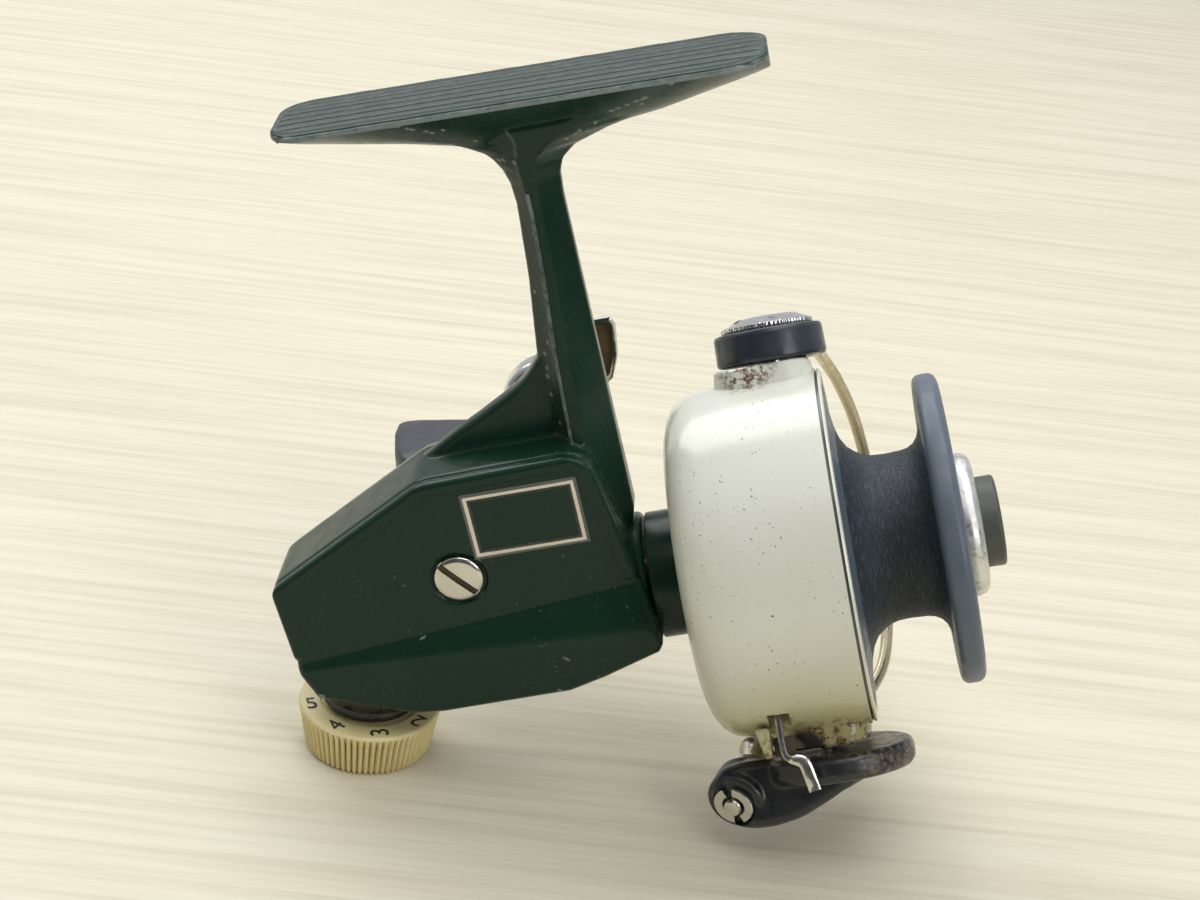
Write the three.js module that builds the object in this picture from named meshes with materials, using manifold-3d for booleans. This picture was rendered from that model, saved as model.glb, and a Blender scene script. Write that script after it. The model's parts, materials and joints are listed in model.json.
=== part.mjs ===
// A small open-face spinning reel with a rear drag, at real size in millimetres.
// Inside the "reel" group X runs along the rotor axis towards the spool, Z points up
// to the rod foot, and the zero point lies on the rotor axis at the rotor's rim.
// The outer group moves that frame so that the part's origin is the foot seat's centre.
import * as THREE from "three";
import { mergeVertices } from "three/addons/utils/BufferGeometryUtils.js";
import { ConvexGeometry } from "three/addons/geometries/ConvexGeometry.js";
import Module from "manifold-3d";

const wasm = await Module();
wasm.setup();

// ---- driving dimensions ----
const GAP = 0.3; // between touching pieces
const SEAT = { x: -30, z: 73.7, rise: 0.0316 }; // foot seat centre, and its rise towards the rear
const HOUSING = {
  outline: [
    [-78, 12.5], [-55, 24.6], [-34, 25.1], [-31.6, 23.5], [-26.9, -4.7], [-27.7, -6.5],
    [-36, -9.3], [-41.3, -10.4], [-59.5, -10.5], [-64, -10], [-76.6, -5.4], [-77.9, -1.6],
  ],
  wall: 1.4, far: 9, near: -7.9, coverFace: -9.5,
};
const COLLAR = { rear: -27.3, front: -23.1, radius: 8.9 };
const SHAFT = { radius: 1.4, rear: -65.8, front: 15.4 };
const CRANK = { x: -41, z: 13.5, throw: 26.2, down: 0.56, shaftRadius: 2.5, hubRadius: 7.8 };
const WORM = { pitchRadius: 4.6, starts: 5, front: -34, rear: -48 };
const WHEEL = { pitchRadius: 8.9, teeth: 25, half: 2.5 };
const ROTOR = { rear: -22.7, radius: 24.9, inner: 23.4, turn: 26.5 };
const BAIL = { x: -6.3, ringRadius: 7.3, discRadius: 10.5 };
const ROLLER = { seat: [-21.4, -3.6, -32.8], axis: [-0.361, -0.843, -0.397], radius: 3.5 };
const SPOOL = { rim: 21.5, drum: 11.6, skirt: 22.7, front: 15.5 };
const DIAL = { x: -72.3, z: -12.8, tilt: 18, top: 10.3, bottom: 9.3, height: 7.3 };
const COVER_SCREW = { x: -52.7, z: 9.6, slotTurn: -50 };
const BADGE = { x: -41.8, z: 17.3, width: 15.3, height: 9.3, line: 0.8 };

// ---- solids ----
// A closed geometry as a manifold, facing out; triangles that merging collapses are dropped.
function solid(geometry) {
  const bare = new THREE.BufferGeometry().setAttribute("position", geometry.getAttribute("position"));
  bare.setIndex(geometry.getIndex());
  const merged = mergeVertices(bare, 1e-4);
  const corners = merged.index.array;
  const kept = [];
  for (let i = 0; i < corners.length; i += 3) {
    const [a, b, c] = corners.subarray(i, i + 3);
    if (a !== b && b !== c && a !== c) kept.push(a, b, c);
  }
  const make = (triVerts) =>
    new wasm.Manifold(
      new wasm.Mesh({
        numProp: 3,
        vertProperties: new Float32Array(merged.attributes.position.array),
        triVerts: new Uint32Array(triVerts),
      }),
    );
  const made = make(kept);
  return made.volume() > 0 ? made : make(kept.reverse());
}

function geometryOf(manifold) {
  const mesh = manifold.getMesh();
  const indexed = new THREE.BufferGeometry();
  indexed.setAttribute("position", new THREE.BufferAttribute(mesh.vertProperties, mesh.numProp));
  indexed.setIndex(new THREE.BufferAttribute(mesh.triVerts, 1));
  const faceted = indexed.toNonIndexed();
  faceted.computeVertexNormals();
  return faceted;
}

const union = (...solids) => solids.reduce((a, b) => a.add(b));
const cut = (from, ...tools) => tools.reduce((a, b) => a.subtract(b), from);

// A polygon in X and Z, from y0 to y1.
function prism(points, y0, y1, hole = null) {
  const shape = new THREE.Shape(points.map(([x, z]) => new THREE.Vector2(x, z)));
  if (hole) shape.holes.push(new THREE.Path(hole.map(([x, z]) => new THREE.Vector2(x, z))));
  const geometry = new THREE.ExtrudeGeometry(shape, { depth: y1 - y0, bevelEnabled: false });
  return solid(geometry.rotateX(Math.PI / 2).translate(0, y1, 0));
}

const rectangle = (x0, x1, z0, z1) => [[x0, z0], [x1, z0], [x1, z1], [x0, z1]];

function box(x0, x1, y0, y1, z0, z1) {
  const geometry = new THREE.BoxGeometry(x1 - x0, y1 - y0, z1 - z0);
  return solid(geometry.translate((x0 + x1) / 2, (y0 + y1) / 2, (z0 + z1) / 2));
}

const hull = (points) => solid(new ConvexGeometry(points.map((p) => new THREE.Vector3(...p))));

// A cylinder between two points.
function rod(from, to, radius, sides = 24, endRadius = radius) {
  const a = new THREE.Vector3(...from);
  const b = new THREE.Vector3(...to);
  const length = a.distanceTo(b);
  const geometry = new THREE.CylinderGeometry(endRadius, radius, length, sides);
  const turn = new THREE.Quaternion().setFromUnitVectors(
    new THREE.Vector3(0, 1, 0), b.clone().sub(a).normalize());
  geometry.applyQuaternion(turn).translate(...a.add(b).multiplyScalar(0.5).toArray());
  return solid(geometry);
}

// A ring or turned piece about X from [x, radius] points that close on themselves.
function turnedX(profile, sides = 48) {
  const points = [...profile, profile[0]].map(([x, r]) => new THREE.Vector2(r, x));
  return solid(new THREE.LatheGeometry(points, sides).rotateZ(-Math.PI / 2));
}

// The same about Z, from [radius, z] points.
function turnedZ(profile, sides = 48) {
  const points = [...profile, profile[0]].map(([r, z]) => new THREE.Vector2(r, z));
  return solid(new THREE.LatheGeometry(points, sides).rotateX(Math.PI / 2));
}

const ringX = (x0, x1, inner, outer, sides) =>
  turnedX([[x0, inner], [x0, outer], [x1, outer], [x1, inner]], sides);
const ringZ = (z0, z1, inner, outer, sides) =>
  turnedZ([[inner, z0], [outer, z0], [outer, z1], [inner, z1]], sides);

function circle(radius, sides) {
  const shape = new THREE.Shape();
  for (let i = 0; i < sides; i++) {
    const angle = (2 * Math.PI * i) / sides;
    shape[i ? "lineTo" : "moveTo"](radius * Math.cos(angle), radius * Math.sin(angle));
  }
  return shape;
}

// A round wire along a smooth path through points.
function wire(points, radius, steps, sides = 8) {
  const path = new THREE.CatmullRomCurve3(points.map((p) => new THREE.Vector3(...p)));
  return solid(new THREE.ExtrudeGeometry(circle(radius, sides), { steps, extrudePath: path }));
}

// A coil spring about Z.
function coil(radius, wireRadius, z0, z1, turns) {
  const points = [];
  const perTurn = 10;
  for (let i = 0; i <= turns * perTurn; i++) {
    const angle = (2 * Math.PI * i) / perTurn;
    const z = z0 + ((z1 - z0) * i) / (turns * perTurn);
    points.push([radius * Math.cos(angle), radius * Math.sin(angle), z]);
  }
  return wire(points, wireRadius, turns * 11, 5);
}

// A convex outline moved inwards by a wall's thickness.
function inset(points, wall) {
  return points.map((corner, i) => {
    const before = points[(i + points.length - 1) % points.length];
    const after = points[(i + 1) % points.length];
    const inward = (a, b) => {
      const length = Math.hypot(b[0] - a[0], b[1] - a[1]);
      return [(b[1] - a[1]) / length, -(b[0] - a[0]) / length];
    };
    const n1 = inward(before, corner);
    const n2 = inward(corner, after);
    const scale = wall / (1 + n1[0] * n2[0] + n1[1] * n2[1]);
    return [corner[0] + (n1[0] + n2[0]) * scale, corner[1] + (n1[1] + n2[1]) * scale];
  });
}

// A gear outline: teeth that are narrower than their gaps, so that the mesh has backlash.
function gearShape(teeth, root, tip, firstTooth) {
  const shape = new THREE.Shape();
  const pitch = (2 * Math.PI) / teeth;
  const halfRoot = 0.24 * pitch;
  const halfTip = 0.13 * pitch;
  let started = false;
  for (let i = 0; i < teeth; i++) {
    const middle = firstTooth + i * pitch;
    for (const [angle, r] of [
      [-halfRoot, root], [-halfTip, tip], [halfTip, tip], [halfRoot, root],
    ]) {
      const x = r * Math.cos(middle + angle);
      const y = r * Math.sin(middle + angle);
      shape[started ? "lineTo" : "moveTo"](x, y);
      started = true;
    }
  }
  return shape;
}

// A toothed bar along local Z from z0 to z1 whose section turns by twist radians a millimetre.
function twisted(shape, z0, z1, twist, steps) {
  const geometry = new THREE.ExtrudeGeometry(shape, {
    depth: z1 - z0, steps, bevelEnabled: false,
  }).translate(0, 0, z0);
  const position = geometry.getAttribute("position");
  const point = new THREE.Vector3();
  const axis = new THREE.Vector3(0, 0, 1);
  for (let i = 0; i < position.count; i++) {
    point.fromBufferAttribute(position, i).applyAxisAngle(axis, twist * position.getZ(i));
    position.setXYZ(i, point.x, point.y, point.z);
  }
  return geometry;
}

// ---- materials ----
const finish = (color, roughness, metalness = 0) =>
  new THREE.MeshStandardMaterial({ color, roughness, metalness });
const MATERIALS = {
  green_paint: finish(0x16281f, 0.35),
  ivory_plastic: finish(0xdfe0cf, 0.3),
  spool_slate: finish(0x2e3640, 0.45),
  black_paint: finish(0x15171a, 0.35),
  nickel: finish(0xc9c6bb, 0.25, 1),
  steel: finish(0x9a9ca0, 0.35, 1),
  wire_nickel: finish(0xb9a98a, 0.3, 1),
  aluminium: finish(0xb9bcc0, 0.4, 1),
  button_grey: finish(0x3a403e, 0.5, 0.3),
  brass: finish(0xb08d4a, 0.4, 1),
  dial_plastic: finish(0xcdb883, 0.5),
  knob_plastic: finish(0x2a2a33, 0.6),
};

const part = new THREE.Group();
part.name = "spinning_reel";
const reel = new THREE.Group();
reel.position.set(-SEAT.x, 0, -SEAT.z);
part.add(reel);

// The rotor's own frame: Z through the bail's two pivots, as it stands at rest.
const rotorFrame = new THREE.Group();
rotorFrame.rotation.x = THREE.MathUtils.degToRad(-ROTOR.turn);
reel.add(rotorFrame);

// The drag dial's frame: Z up the dial's axis, zero at the dial's top face.
const dialFrame = new THREE.Group();
dialFrame.position.set(DIAL.x, 0, DIAL.z);
dialFrame.rotation.y = THREE.MathUtils.degToRad(DIAL.tilt);
reel.add(dialFrame);

function add(parent, name, manifold, material) {
  const mesh = new THREE.Mesh(geometryOf(manifold), MATERIALS[material]);
  mesh.name = name;
  parent.add(mesh);
}

// A solid made in the dial's frame, taken to the reel's frame.
function fromDialFrame(manifold) {
  dialFrame.updateMatrix();
  return manifold.transform(dialFrame.matrix.elements);
}

// ---- body: rod foot, stem, gusset and gear housing in one casting ----
function rodFoot() {
  const seatHeight = (x) => SEAT.z - (x - SEAT.x) * SEAT.rise;
  const points = [];
  for (const [x, side] of [[-60.5, 3.6], [-57.5, 5.6], [-3, 5.6], [0.6, 3.6]])
    for (const y of [-side, side]) points.push([x, y, seatHeight(x)]);
  for (const [x, side, drop] of [[-60.3, 5.2, 2.9], [-56, 8, 2.4], [-4, 8, 2.4], [0.3, 5.2, 3.1]])
    for (const y of [-side, side]) points.push([x, y, seatHeight(x) - drop]);
  for (const [x, side, z] of [[-60.3, 3, 71.2], [-36.5, 4, 65.2], [-26, 4, 65.3], [0.3, 3, 68.9]])
    for (const y of [-side, side]) points.push([x, y, z]);
  return hull(points);
}

const collarSeat = () => rod([COLLAR.rear - GAP, 0, 0], [-20, 0, 0], COLLAR.radius + GAP, 40);

function bodyCasting() {
  const shell = prism(HOUSING.outline, HOUSING.near, HOUSING.far);
  const cavity = prism(inset(HOUSING.outline, HOUSING.wall), HOUSING.near - 1,
    HOUSING.far - HOUSING.wall);
  const stem = prism([
    [-36.2, 20], [-36.2, 37], [-34.9, 48], [-34.2, 66.5], [-27.4, 66.5],
    [-28, 61], [-28, 10], [-30, 8],
  ], -4, 4);
  const gusset = prism([
    [-35.5, 36.7], [-39.6, 33], [-45.1, 29.8], [-50.2, 27.2], [-55.3, 24.3], [-40, 22], [-35.5, 24],
  ], -1.2, 1.2);
  const frontBoss = cut(rod([-31, 0, 0], [COLLAR.rear - GAP, 0, 0], COLLAR.radius, 40),
    box(-32, -26, -10, HOUSING.near, -10, 10));
  const crankBoss = rod([CRANK.x, HOUSING.far - 1, CRANK.z], [CRANK.x, 13.5, CRANK.z], 6, 32);
  const outside = union(shell, stem, gusset, rodFoot(), frontBoss, crankBoss);
  const screwBoss = rod([COVER_SCREW.x, -6.5, COVER_SCREW.z],
    [COVER_SCREW.x, HOUSING.far - 1, COVER_SCREW.z], 2.9, 16);
  const hollow = cut(cavity, screwBoss);
  return cut(
    outside,
    hollow,
    rod([-40, 0, 0], [-20, 0, 0], 3.5, 24),
    collarSeat(),
    rod([CRANK.x, 5, CRANK.z], [CRANK.x, 20, CRANK.z], 4.2, 24),
    rod([COVER_SCREW.x, -8, COVER_SCREW.z], [COVER_SCREW.x, 3, COVER_SCREW.z], 1.7, 16),
    rod([-33.2, 5, 9], [-33.2, 12, 9], 1.6, 16),
    fromDialFrame(rod([0, 0, 3], [0, 0, 9], 3.9, 24)),
  );
}

// The cover has a flat recessed panel above and a belly that swells towards the front.
function sideCover() {
  const face = HOUSING.coverFace;
  const inner = HOUSING.near - GAP;
  const swell = (x) => face - (3 * (x + 78)) / 50;
  const panel = inset(HOUSING.outline, 1.3).map(([x, z]) => [x, Math.max(z, 2)]);
  const plate = prism(HOUSING.outline, face, inner);
  const belly = [];
  for (const [x, z] of [[-77.8, -1.7], [-28.2, 4.4], [-26.95, -4.8]]) belly.push([x, face, z]);
  for (const [x, z] of [
    [-77.2, -2.2], [-57.8, -1.5], [-27.3, -2.4], [-27.4, -4.7], [-28.2, -6.3], [-36, -8.8],
    [-41.3, -9.9], [-59.5, -10], [-64, -9.5], [-76.2, -5.1],
  ]) belly.push([x, swell(x), z], [x, face + 0.2, z]);
  const step = prism(panel, face - 1, face + 0.35);
  const { x: screwX, z: screwZ } = COVER_SCREW;
  const screwHole = rod([screwX, face - 1, screwZ], [screwX, 0, screwZ], 1.7, 16);
  const headSeat = rod([screwX, face - 1, screwZ], [screwX, face + 0.75, screwZ], 3.8, 32);
  return cut(union(cut(plate, step), hull(belly)), screwHole, headSeat, collarSeat());
}

// A slotted round head on a shank, along +Z, its seat at zero.
function slottedScrew(headRadius, headHeight, shankRadius, shankLength, slotTurn, slotDepth = 0.5) {
  const body = union(
    turnedZ([[0, 0], [headRadius, 0], [headRadius, headHeight * 0.6],
      [headRadius * 0.8, headHeight], [0, headHeight]], 28),
    rod([0, 0, -shankLength], [0, 0, 0.2], shankRadius, 16),
    rod([0, 0, 0], [0, 0, headHeight], 0.3, 6),
  );
  const slot = new THREE.BoxGeometry(headRadius * 3, 0.9, slotDepth * 2);
  slot.translate(0, 0, headHeight).rotateZ(THREE.MathUtils.degToRad(slotTurn));
  return cut(body, solid(slot));
}

const towardsNear = (manifold) => manifold.rotate([90, 0, 0]);

function badgeFrame() {
  const { width, height, line } = BADGE;
  const outer = rectangle(-width / 2, width / 2, -height / 2, height / 2);
  const inner = rectangle(-width / 2 + line, width / 2 - line, -height / 2 + line, height / 2 - line);
  const face = HOUSING.coverFace + 0.35 - GAP;
  return prism(outer, face - 0.4, face, inner);
}

add(reel, "body_casting", bodyCasting(), "green_paint");
add(reel, "side_cover", sideCover(), "green_paint");
const screwSeat = HOUSING.coverFace + 0.75 - GAP;
add(reel, "cover_screw",
  towardsNear(slottedScrew(3.4, 1.1, 1.4, 9, COVER_SCREW.slotTurn))
    .translate([COVER_SCREW.x, screwSeat, COVER_SCREW.z]), "nickel");
const badge = new THREE.Group();
badge.position.set(BADGE.x, 0, BADGE.z);
reel.add(badge);
add(badge, "badge_frame", badgeFrame(), "nickel");
add(reel, "front_collar", ringX(COLLAR.rear, COLLAR.front, 5.9, COLLAR.radius), "green_paint");
add(reel, "front_bearing", ringX(-27, -24.6, 3.3, 5.6, 32), "steel");

// ---- crank, drive gear and handle knob ----
const wormLead = (2 * Math.PI * WHEEL.pitchRadius * WORM.starts) / WHEEL.teeth;

function driveGear() {
  // Local Z becomes -Y, so the twist keeps its sense about Y; a tooth points straight down at Y = 0.
  const shape = gearShape(WHEEL.teeth, WHEEL.pitchRadius - 0.75, WHEEL.pitchRadius + 0.3, -Math.PI / 2);
  const slope = wormLead / (2 * Math.PI * WORM.pitchRadius);
  const blank = solid(twisted(shape, -WHEEL.half, WHEEL.half, -slope / WHEEL.pitchRadius, 4)
    .rotateX(Math.PI / 2)).translate([CRANK.x, 0, CRANK.z]);
  return cut(blank, rod([CRANK.x, -5, CRANK.z], [CRANK.x, 5, CRANK.z], CRANK.shaftRadius + GAP, 24));
}

function pinion() {
  const shape = gearShape(WORM.starts, WORM.pitchRadius - 0.75, WORM.pitchRadius + 0.3, 0);
  const middle = (WORM.front + WORM.rear) / 2;
  const half = (WORM.front - WORM.rear) / 2;
  // A thread points straight down below the wheel's centre, so a gap faces the wheel's lowest tooth.
  const threads = solid(twisted(shape, -half, half, (-2 * Math.PI) / wormLead, 20)
    .rotateY(Math.PI / 2).translate(middle, 0, 0));
  const journal = rod([WORM.front - 0.5, 0, 0], [-17.5, 0, 0], 3, 24);
  return cut(union(threads, journal), rod([-60, 0, 0], [0, 0, 0], SHAFT.radius + GAP, 20));
}

// The handle lies behind the housing; its outer end steps out to pass clear of the bail.
const outwards = [-Math.sqrt(1 - CRANK.down ** 2), -CRANK.down];
const across = [-outwards[1], outwards[0]];
function handlePoint(along, side, y) {
  return [
    CRANK.x + outwards[0] * along + across[0] * side, y,
    CRANK.z + outwards[1] * along + across[1] * side,
  ];
}
function handleBlock(stations) {
  const points = [];
  for (const [along, half, y0, y1] of stations)
    for (const side of [-half, half])
      points.push(handlePoint(along, side, y0), handlePoint(along, side, y1));
  return hull(points);
}

function crankArm() {
  const hub = union(rod(handlePoint(0, 0, 29), handlePoint(0, 0, 35.5), 6, 32),
    rod(handlePoint(0, 0, 31.5), handlePoint(0, 0, 35.5), CRANK.hubRadius, 40));
  const tail = handleBlock([[-14.6, 2.6, 30.4, 34.8], [-12.5, 5, 30.4, 34.8], [0, 4.6, 30.4, 34.8]]);
  const inner = handleBlock([[0, 4.2, 31, 34.8], [11.5, 3.8, 31.5, 34.8]]);
  const step = handleBlock([[10.5, 3.8, 31.5, 34.8], [16, 3.6, 39.4, 42]]);
  const outer = handleBlock([[15, 3.7, 39.4, 42], [27, 3.4, 39.4, 42], [29.4, 1.8, 39.4, 42]]);
  const hollow = handleBlock([[-13.4, 2, 29, 33.2], [-11.8, 3.8, 29, 33.2], [-7, 3.6, 29, 33.2]]);
  const bore = rod(handlePoint(0, 0, 25), handlePoint(0, 0, 40), CRANK.shaftRadius + GAP, 24);
  const eye = rod(handlePoint(CRANK.throw, 0, 38), handlePoint(CRANK.throw, 0, 44), 1.5 + GAP, 16);
  return cut(union(hub, tail, inner, step, outer), hollow, bore, eye);
}

function knob() {
  const [x, , z] = handlePoint(CRANK.throw, 0, 0);
  const points = [];
  const stations = [[42.5, 4.5, 2.6], [46, 7.6, 3], [60, 8.3, 2.8], [63, 7.4, 1.7]];
  for (const [y, halfWidth, halfThick] of stations)
    for (const side of [-1, 1])
      for (const [w, t] of [[halfWidth, halfThick * 0.5], [halfWidth * 0.86, halfThick]])
        points.push([side * w, y, t], [side * w, y, -t]);
  return cut(hull(points), rod([0, 40, 0], [0, 60.5, 0], 1.8, 16)).rotate([0, 10, 0]).translate([x, 0, z]);
}

add(reel, "crank_bush", cut(
  rod([CRANK.x, 5.6, CRANK.z], [CRANK.x, 14.6, CRANK.z], 3.9, 24),
  rod([CRANK.x, 5, CRANK.z], [CRANK.x, 16, CRANK.z], CRANK.shaftRadius + 0.1, 24)), "brass");
add(reel, "crank_shaft", union(
  rod([CRANK.x, -2.3, CRANK.z], [CRANK.x, 34.4, CRANK.z], CRANK.shaftRadius, 24),
  rod([CRANK.x, 2.8, CRANK.z], [CRANK.x, 5.2, CRANK.z], 4, 24),
  rod([CRANK.x, 15, CRANK.z], [CRANK.x, 28.7, CRANK.z], 4.4, 24, 3.6)), "nickel");
add(reel, "drive_gear", driveGear(), "brass");
add(reel, "oscillation_pin",
  rod([CRANK.x + 4.5, -4.1, CRANK.z - 2.1], [CRANK.x + 4.5, -WHEEL.half - GAP, CRANK.z - 2.1], 1, 12),
  "steel");
add(reel, "crank_arm", crankArm(), "nickel");
add(reel, "crank_screw", slottedScrew(4, 1.4, 1.2, 0.8, 20).rotate([-90, 0, 0])
  .translate([CRANK.x, 35.8, CRANK.z]), "nickel");
add(reel, "knob_spindle",
  rod(handlePoint(CRANK.throw, 0, 39.5), handlePoint(CRANK.throw, 0, 60), 1.5, 16), "nickel");
add(reel, "knob", knob(), "knob_plastic");

// ---- anti-reverse: a finger that swings behind the ratchet wheel, and its lever outside ----
const PAWL = { x: -33.2, z: 9, lean: 40 };
function ratchetWheel() {
  const shape = new THREE.Shape();
  const teeth = 12;
  for (let i = 0; i < teeth; i++) {
    const angle = (2 * Math.PI * i) / teeth;
    const next = angle + (2 * Math.PI) / teeth;
    shape[i ? "lineTo" : "moveTo"](5 * Math.cos(angle), 5 * Math.sin(angle));
    shape.lineTo(6.3 * Math.cos(next), 6.3 * Math.sin(next));
  }
  const blank = new THREE.ExtrudeGeometry(shape, { depth: 1.3, bevelEnabled: false });
  return cut(solid(blank.rotateY(Math.PI / 2)).translate([-32.6, 0, 0]),
    rod([-40, 0, 0], [-20, 0, 0], 3.3, 24));
}

add(reel, "anti_reverse_shaft", union(
  rod([PAWL.x, 3.6, PAWL.z], [PAWL.x, 9.3, PAWL.z], 1.2, 16),
  prism(rectangle(-0.7, 0.7, -5, 0), 3.6, 6).rotate([0, PAWL.lean, 0]).translate([PAWL.x, 0, PAWL.z]),
), "steel");
add(reel, "anti_reverse_lever", hull([
  ...[9.6, 11].flatMap((y) => [
    [PAWL.x - 2.4, y, PAWL.z + 1], [PAWL.x, y, PAWL.z + 2.4], [PAWL.x + 2.2, y, PAWL.z],
    [PAWL.x + 1.6, y, PAWL.z - 9], [PAWL.x - 1.2, y, PAWL.z - 9.6], [PAWL.x - 2.2, y, PAWL.z - 7]]),
]), "nickel");

// ---- rotor with its pinion, bail supports and trip lever ----
function rotorCup() {
  const cup = turnedX([
    [ROTOR.rear, 3.4], [ROTOR.rear, 18], [-22.1, 21.2], [-20.3, 23.6], [-17.5, 24.6], [-9, ROTOR.radius],
    [0, ROTOR.radius], [0, ROTOR.inner], [-17.5, ROTOR.inner - 0.3], [-19.8, 21.4], [-21, 17.8],
    [-21, 7], [-20.6, 6], [-20.6, 3.4],
  ], 44);
  const outline = [
    [-14.4, -5.5], [-12, -7.2], [-3.5, -7.2], [-1.2, -5.5],
    [-1.2, 5.5], [-3.5, 7.2], [-12, 7.2], [-14.4, 5.5],
  ];
  const boss = (z0, z1) => hull(outline.flatMap(([x, y]) => [[x, y, z0], [x, y, z1]]));
  const inside = turnedX([[-17.4, 0], [-17.4, ROTOR.inner - 0.3], [1, ROTOR.inner], [1, 0]], 44);
  const bosses = cut(union(boss(20, 26.5), boss(-26.5, -20)), inside);
  const ear = box(-16.6, -14.4, -13.4, -10.6, -25.8, -20);
  const slot = box(-14.3, -11.6, -13.6, -10.6, -27, -18);
  return cut(union(cup, bosses, cut(ear, inside)), slot,
    rod([BAIL.x, 0, -30], [BAIL.x, 0, 30], 2.3, 20));
}

const roller = (distance) => ROLLER.seat.map((c, i) => c - ROLLER.axis[i] * distance);

function bailArm() {
  const disc = rod([BAIL.x, 0, -31], [BAIL.x, 0, -27.5], BAIL.discRadius, 40);
  const bracket = prism([
    [-25.2, -30.5], [-23.4, -28.1], [-20, -27.4], [1.5, -27.6], [2.6, -30], [-2, -31.6],
    [-7.6, -34.8], [-12.5, -37], [-16.5, -37.6], [-21, -37.1], [-24.2, -34.5],
  ], -4.4, 1.8);
  const eye = rod(roller(0), roller(5.4), 4, 24);
  return cut(union(disc, bracket, eye),
    rod(roller(-6), roller(0), 3.3, 20),
    rod(roller(5.5), roller(16), 5.2, 20),
    rod(roller(-8), roller(8), 1.3, 16),
    rod([BAIL.x, 0, -40], [BAIL.x, 0, -31], 3.8, 20),
    rod([BAIL.x, 0, -40], [BAIL.x, 0, -20], 2.3, 20));
}

// Stations of the bail wire in the rotor's frame: x, across, along the pivot axis.
const WIRE_ROUTE = [
  [0.1, 4.6, 28.7], [0.3, 9, 28.3], [0.9, 16.2, 27], [2, 21.5, 23.5], [3.1, 26.4, 18.2],
  [3.8, 29.8, 12.2], [4.2, 32, 4], [4.2, 31.9, -5], [3.2, 29.2, -14], [1, 24.2, -21],
  [-4, 19.5, -25.6], [-10, 15.4, -27.8], [-14.2, 11.6, -28.4],
];

function bailWire() {
  const eye = rod(roller(13), roller(15), 2, 14);
  return union(wire([...WIRE_ROUTE, roller(14)], 0.9, 40), eye);
}

// A thin strip bent along its length, its width across the bends.
function bentStrip(points, thickness, y0, y1) {
  const blocks = points.slice(1).map(([x, z], i) => {
    const [px, pz] = points[i];
    const length = Math.hypot(x - px, z - pz);
    const nx = ((z - pz) / length) * (thickness / 2);
    const nz = (-(x - px) / length) * (thickness / 2);
    return hull([y0, y1].flatMap((y) => [
      [px + nx, y, pz + nz], [px - nx, y, pz - nz], [x + nx, y, z + nz], [x - nx, y, z - nz]]));
  });
  const joints = points.slice(1, -1).map(([x, z]) => rod([x, y0, z], [x, y1, z], thickness / 2, 12));
  return union(...blocks, ...joints);
}

add(rotorFrame, "rotor_cup", rotorCup(), "ivory_plastic");
add(reel, "pinion", pinion(), "brass");
add(reel, "ratchet_wheel", ratchetWheel(), "steel");
add(reel, "rotor_nut", cut(
  rod([-20.3, 0, 0], [-17.8, 0, 0], 5.4, 6), rod([-22, 0, 0], [-16, 0, 0], 3.3, 24)), "brass");
add(rotorFrame, "ring_screw", slottedScrew(6, 2.1, 2, 7.6, 35, 0.6)
  .translate([BAIL.x, 0, 31.5]), "nickel");
add(rotorFrame, "arm_screw", slottedScrew(3.4, 1.4, 2, 7.2, 0).rotate([180, 0, 0])
  .translate([BAIL.x, 0, -31.3]), "nickel");
add(rotorFrame, "bail_spring", coil(3.2, 0.3, 27.2, 29.3, 3).translate([BAIL.x, 0, 0]), "steel");
add(rotorFrame, "bail_ring", cut(
  ringZ(26.8, 31.2, 2.3, BAIL.ringRadius, 40),
  rod([0, 0, 26], [0, 0, 29.7], 4.2, 24)).translate([BAIL.x, 0, 0]), "black_paint");
add(rotorFrame, "bail_wire", bailWire(), "wire_nickel");
add(rotorFrame, "bail_arm", bailArm(), "black_paint");
add(rotorFrame, "roller_pin", rod(roller(-1.5), roller(12.6), 1, 16), "nickel");
add(rotorFrame, "roller_clip", cut(rod(roller(-0.9), roller(-0.3), 2.6, 24),
  rod(roller(-2), roller(1), 1.3, 16)), "nickel");
add(rotorFrame, "line_roller", cut(rod(roller(5.9), roller(12.2), ROLLER.radius, 28),
  rod(roller(5), roller(14), 1.25, 16)), "nickel");
add(rotorFrame, "trip_lever", bentStrip(
  [[-13, -19.8], [-13, -25.2], [-10.5, -26.9], [-9.7, -30.8]], 0.7, -13, -11.2), "nickel");

// ---- shaft, oscillation yoke and spool ----
function yoke() {
  const plate = prism(rectangle(-39.6, -33.4, 3.4, 19.6), -6, -4.4, rectangle(-37.8, -35.2, 8.4, 18.6));
  const bar = box(-53.4, -39, -6, -4.4, 3.4, 6.2);
  const block = box(-53.4, -50.6, -6, 2.6, -2.6, 6.2);
  return cut(union(plate, bar, block), rod([-60, 0, 0], [-45, 0, 0], SHAFT.radius + GAP, 20));
}

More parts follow.
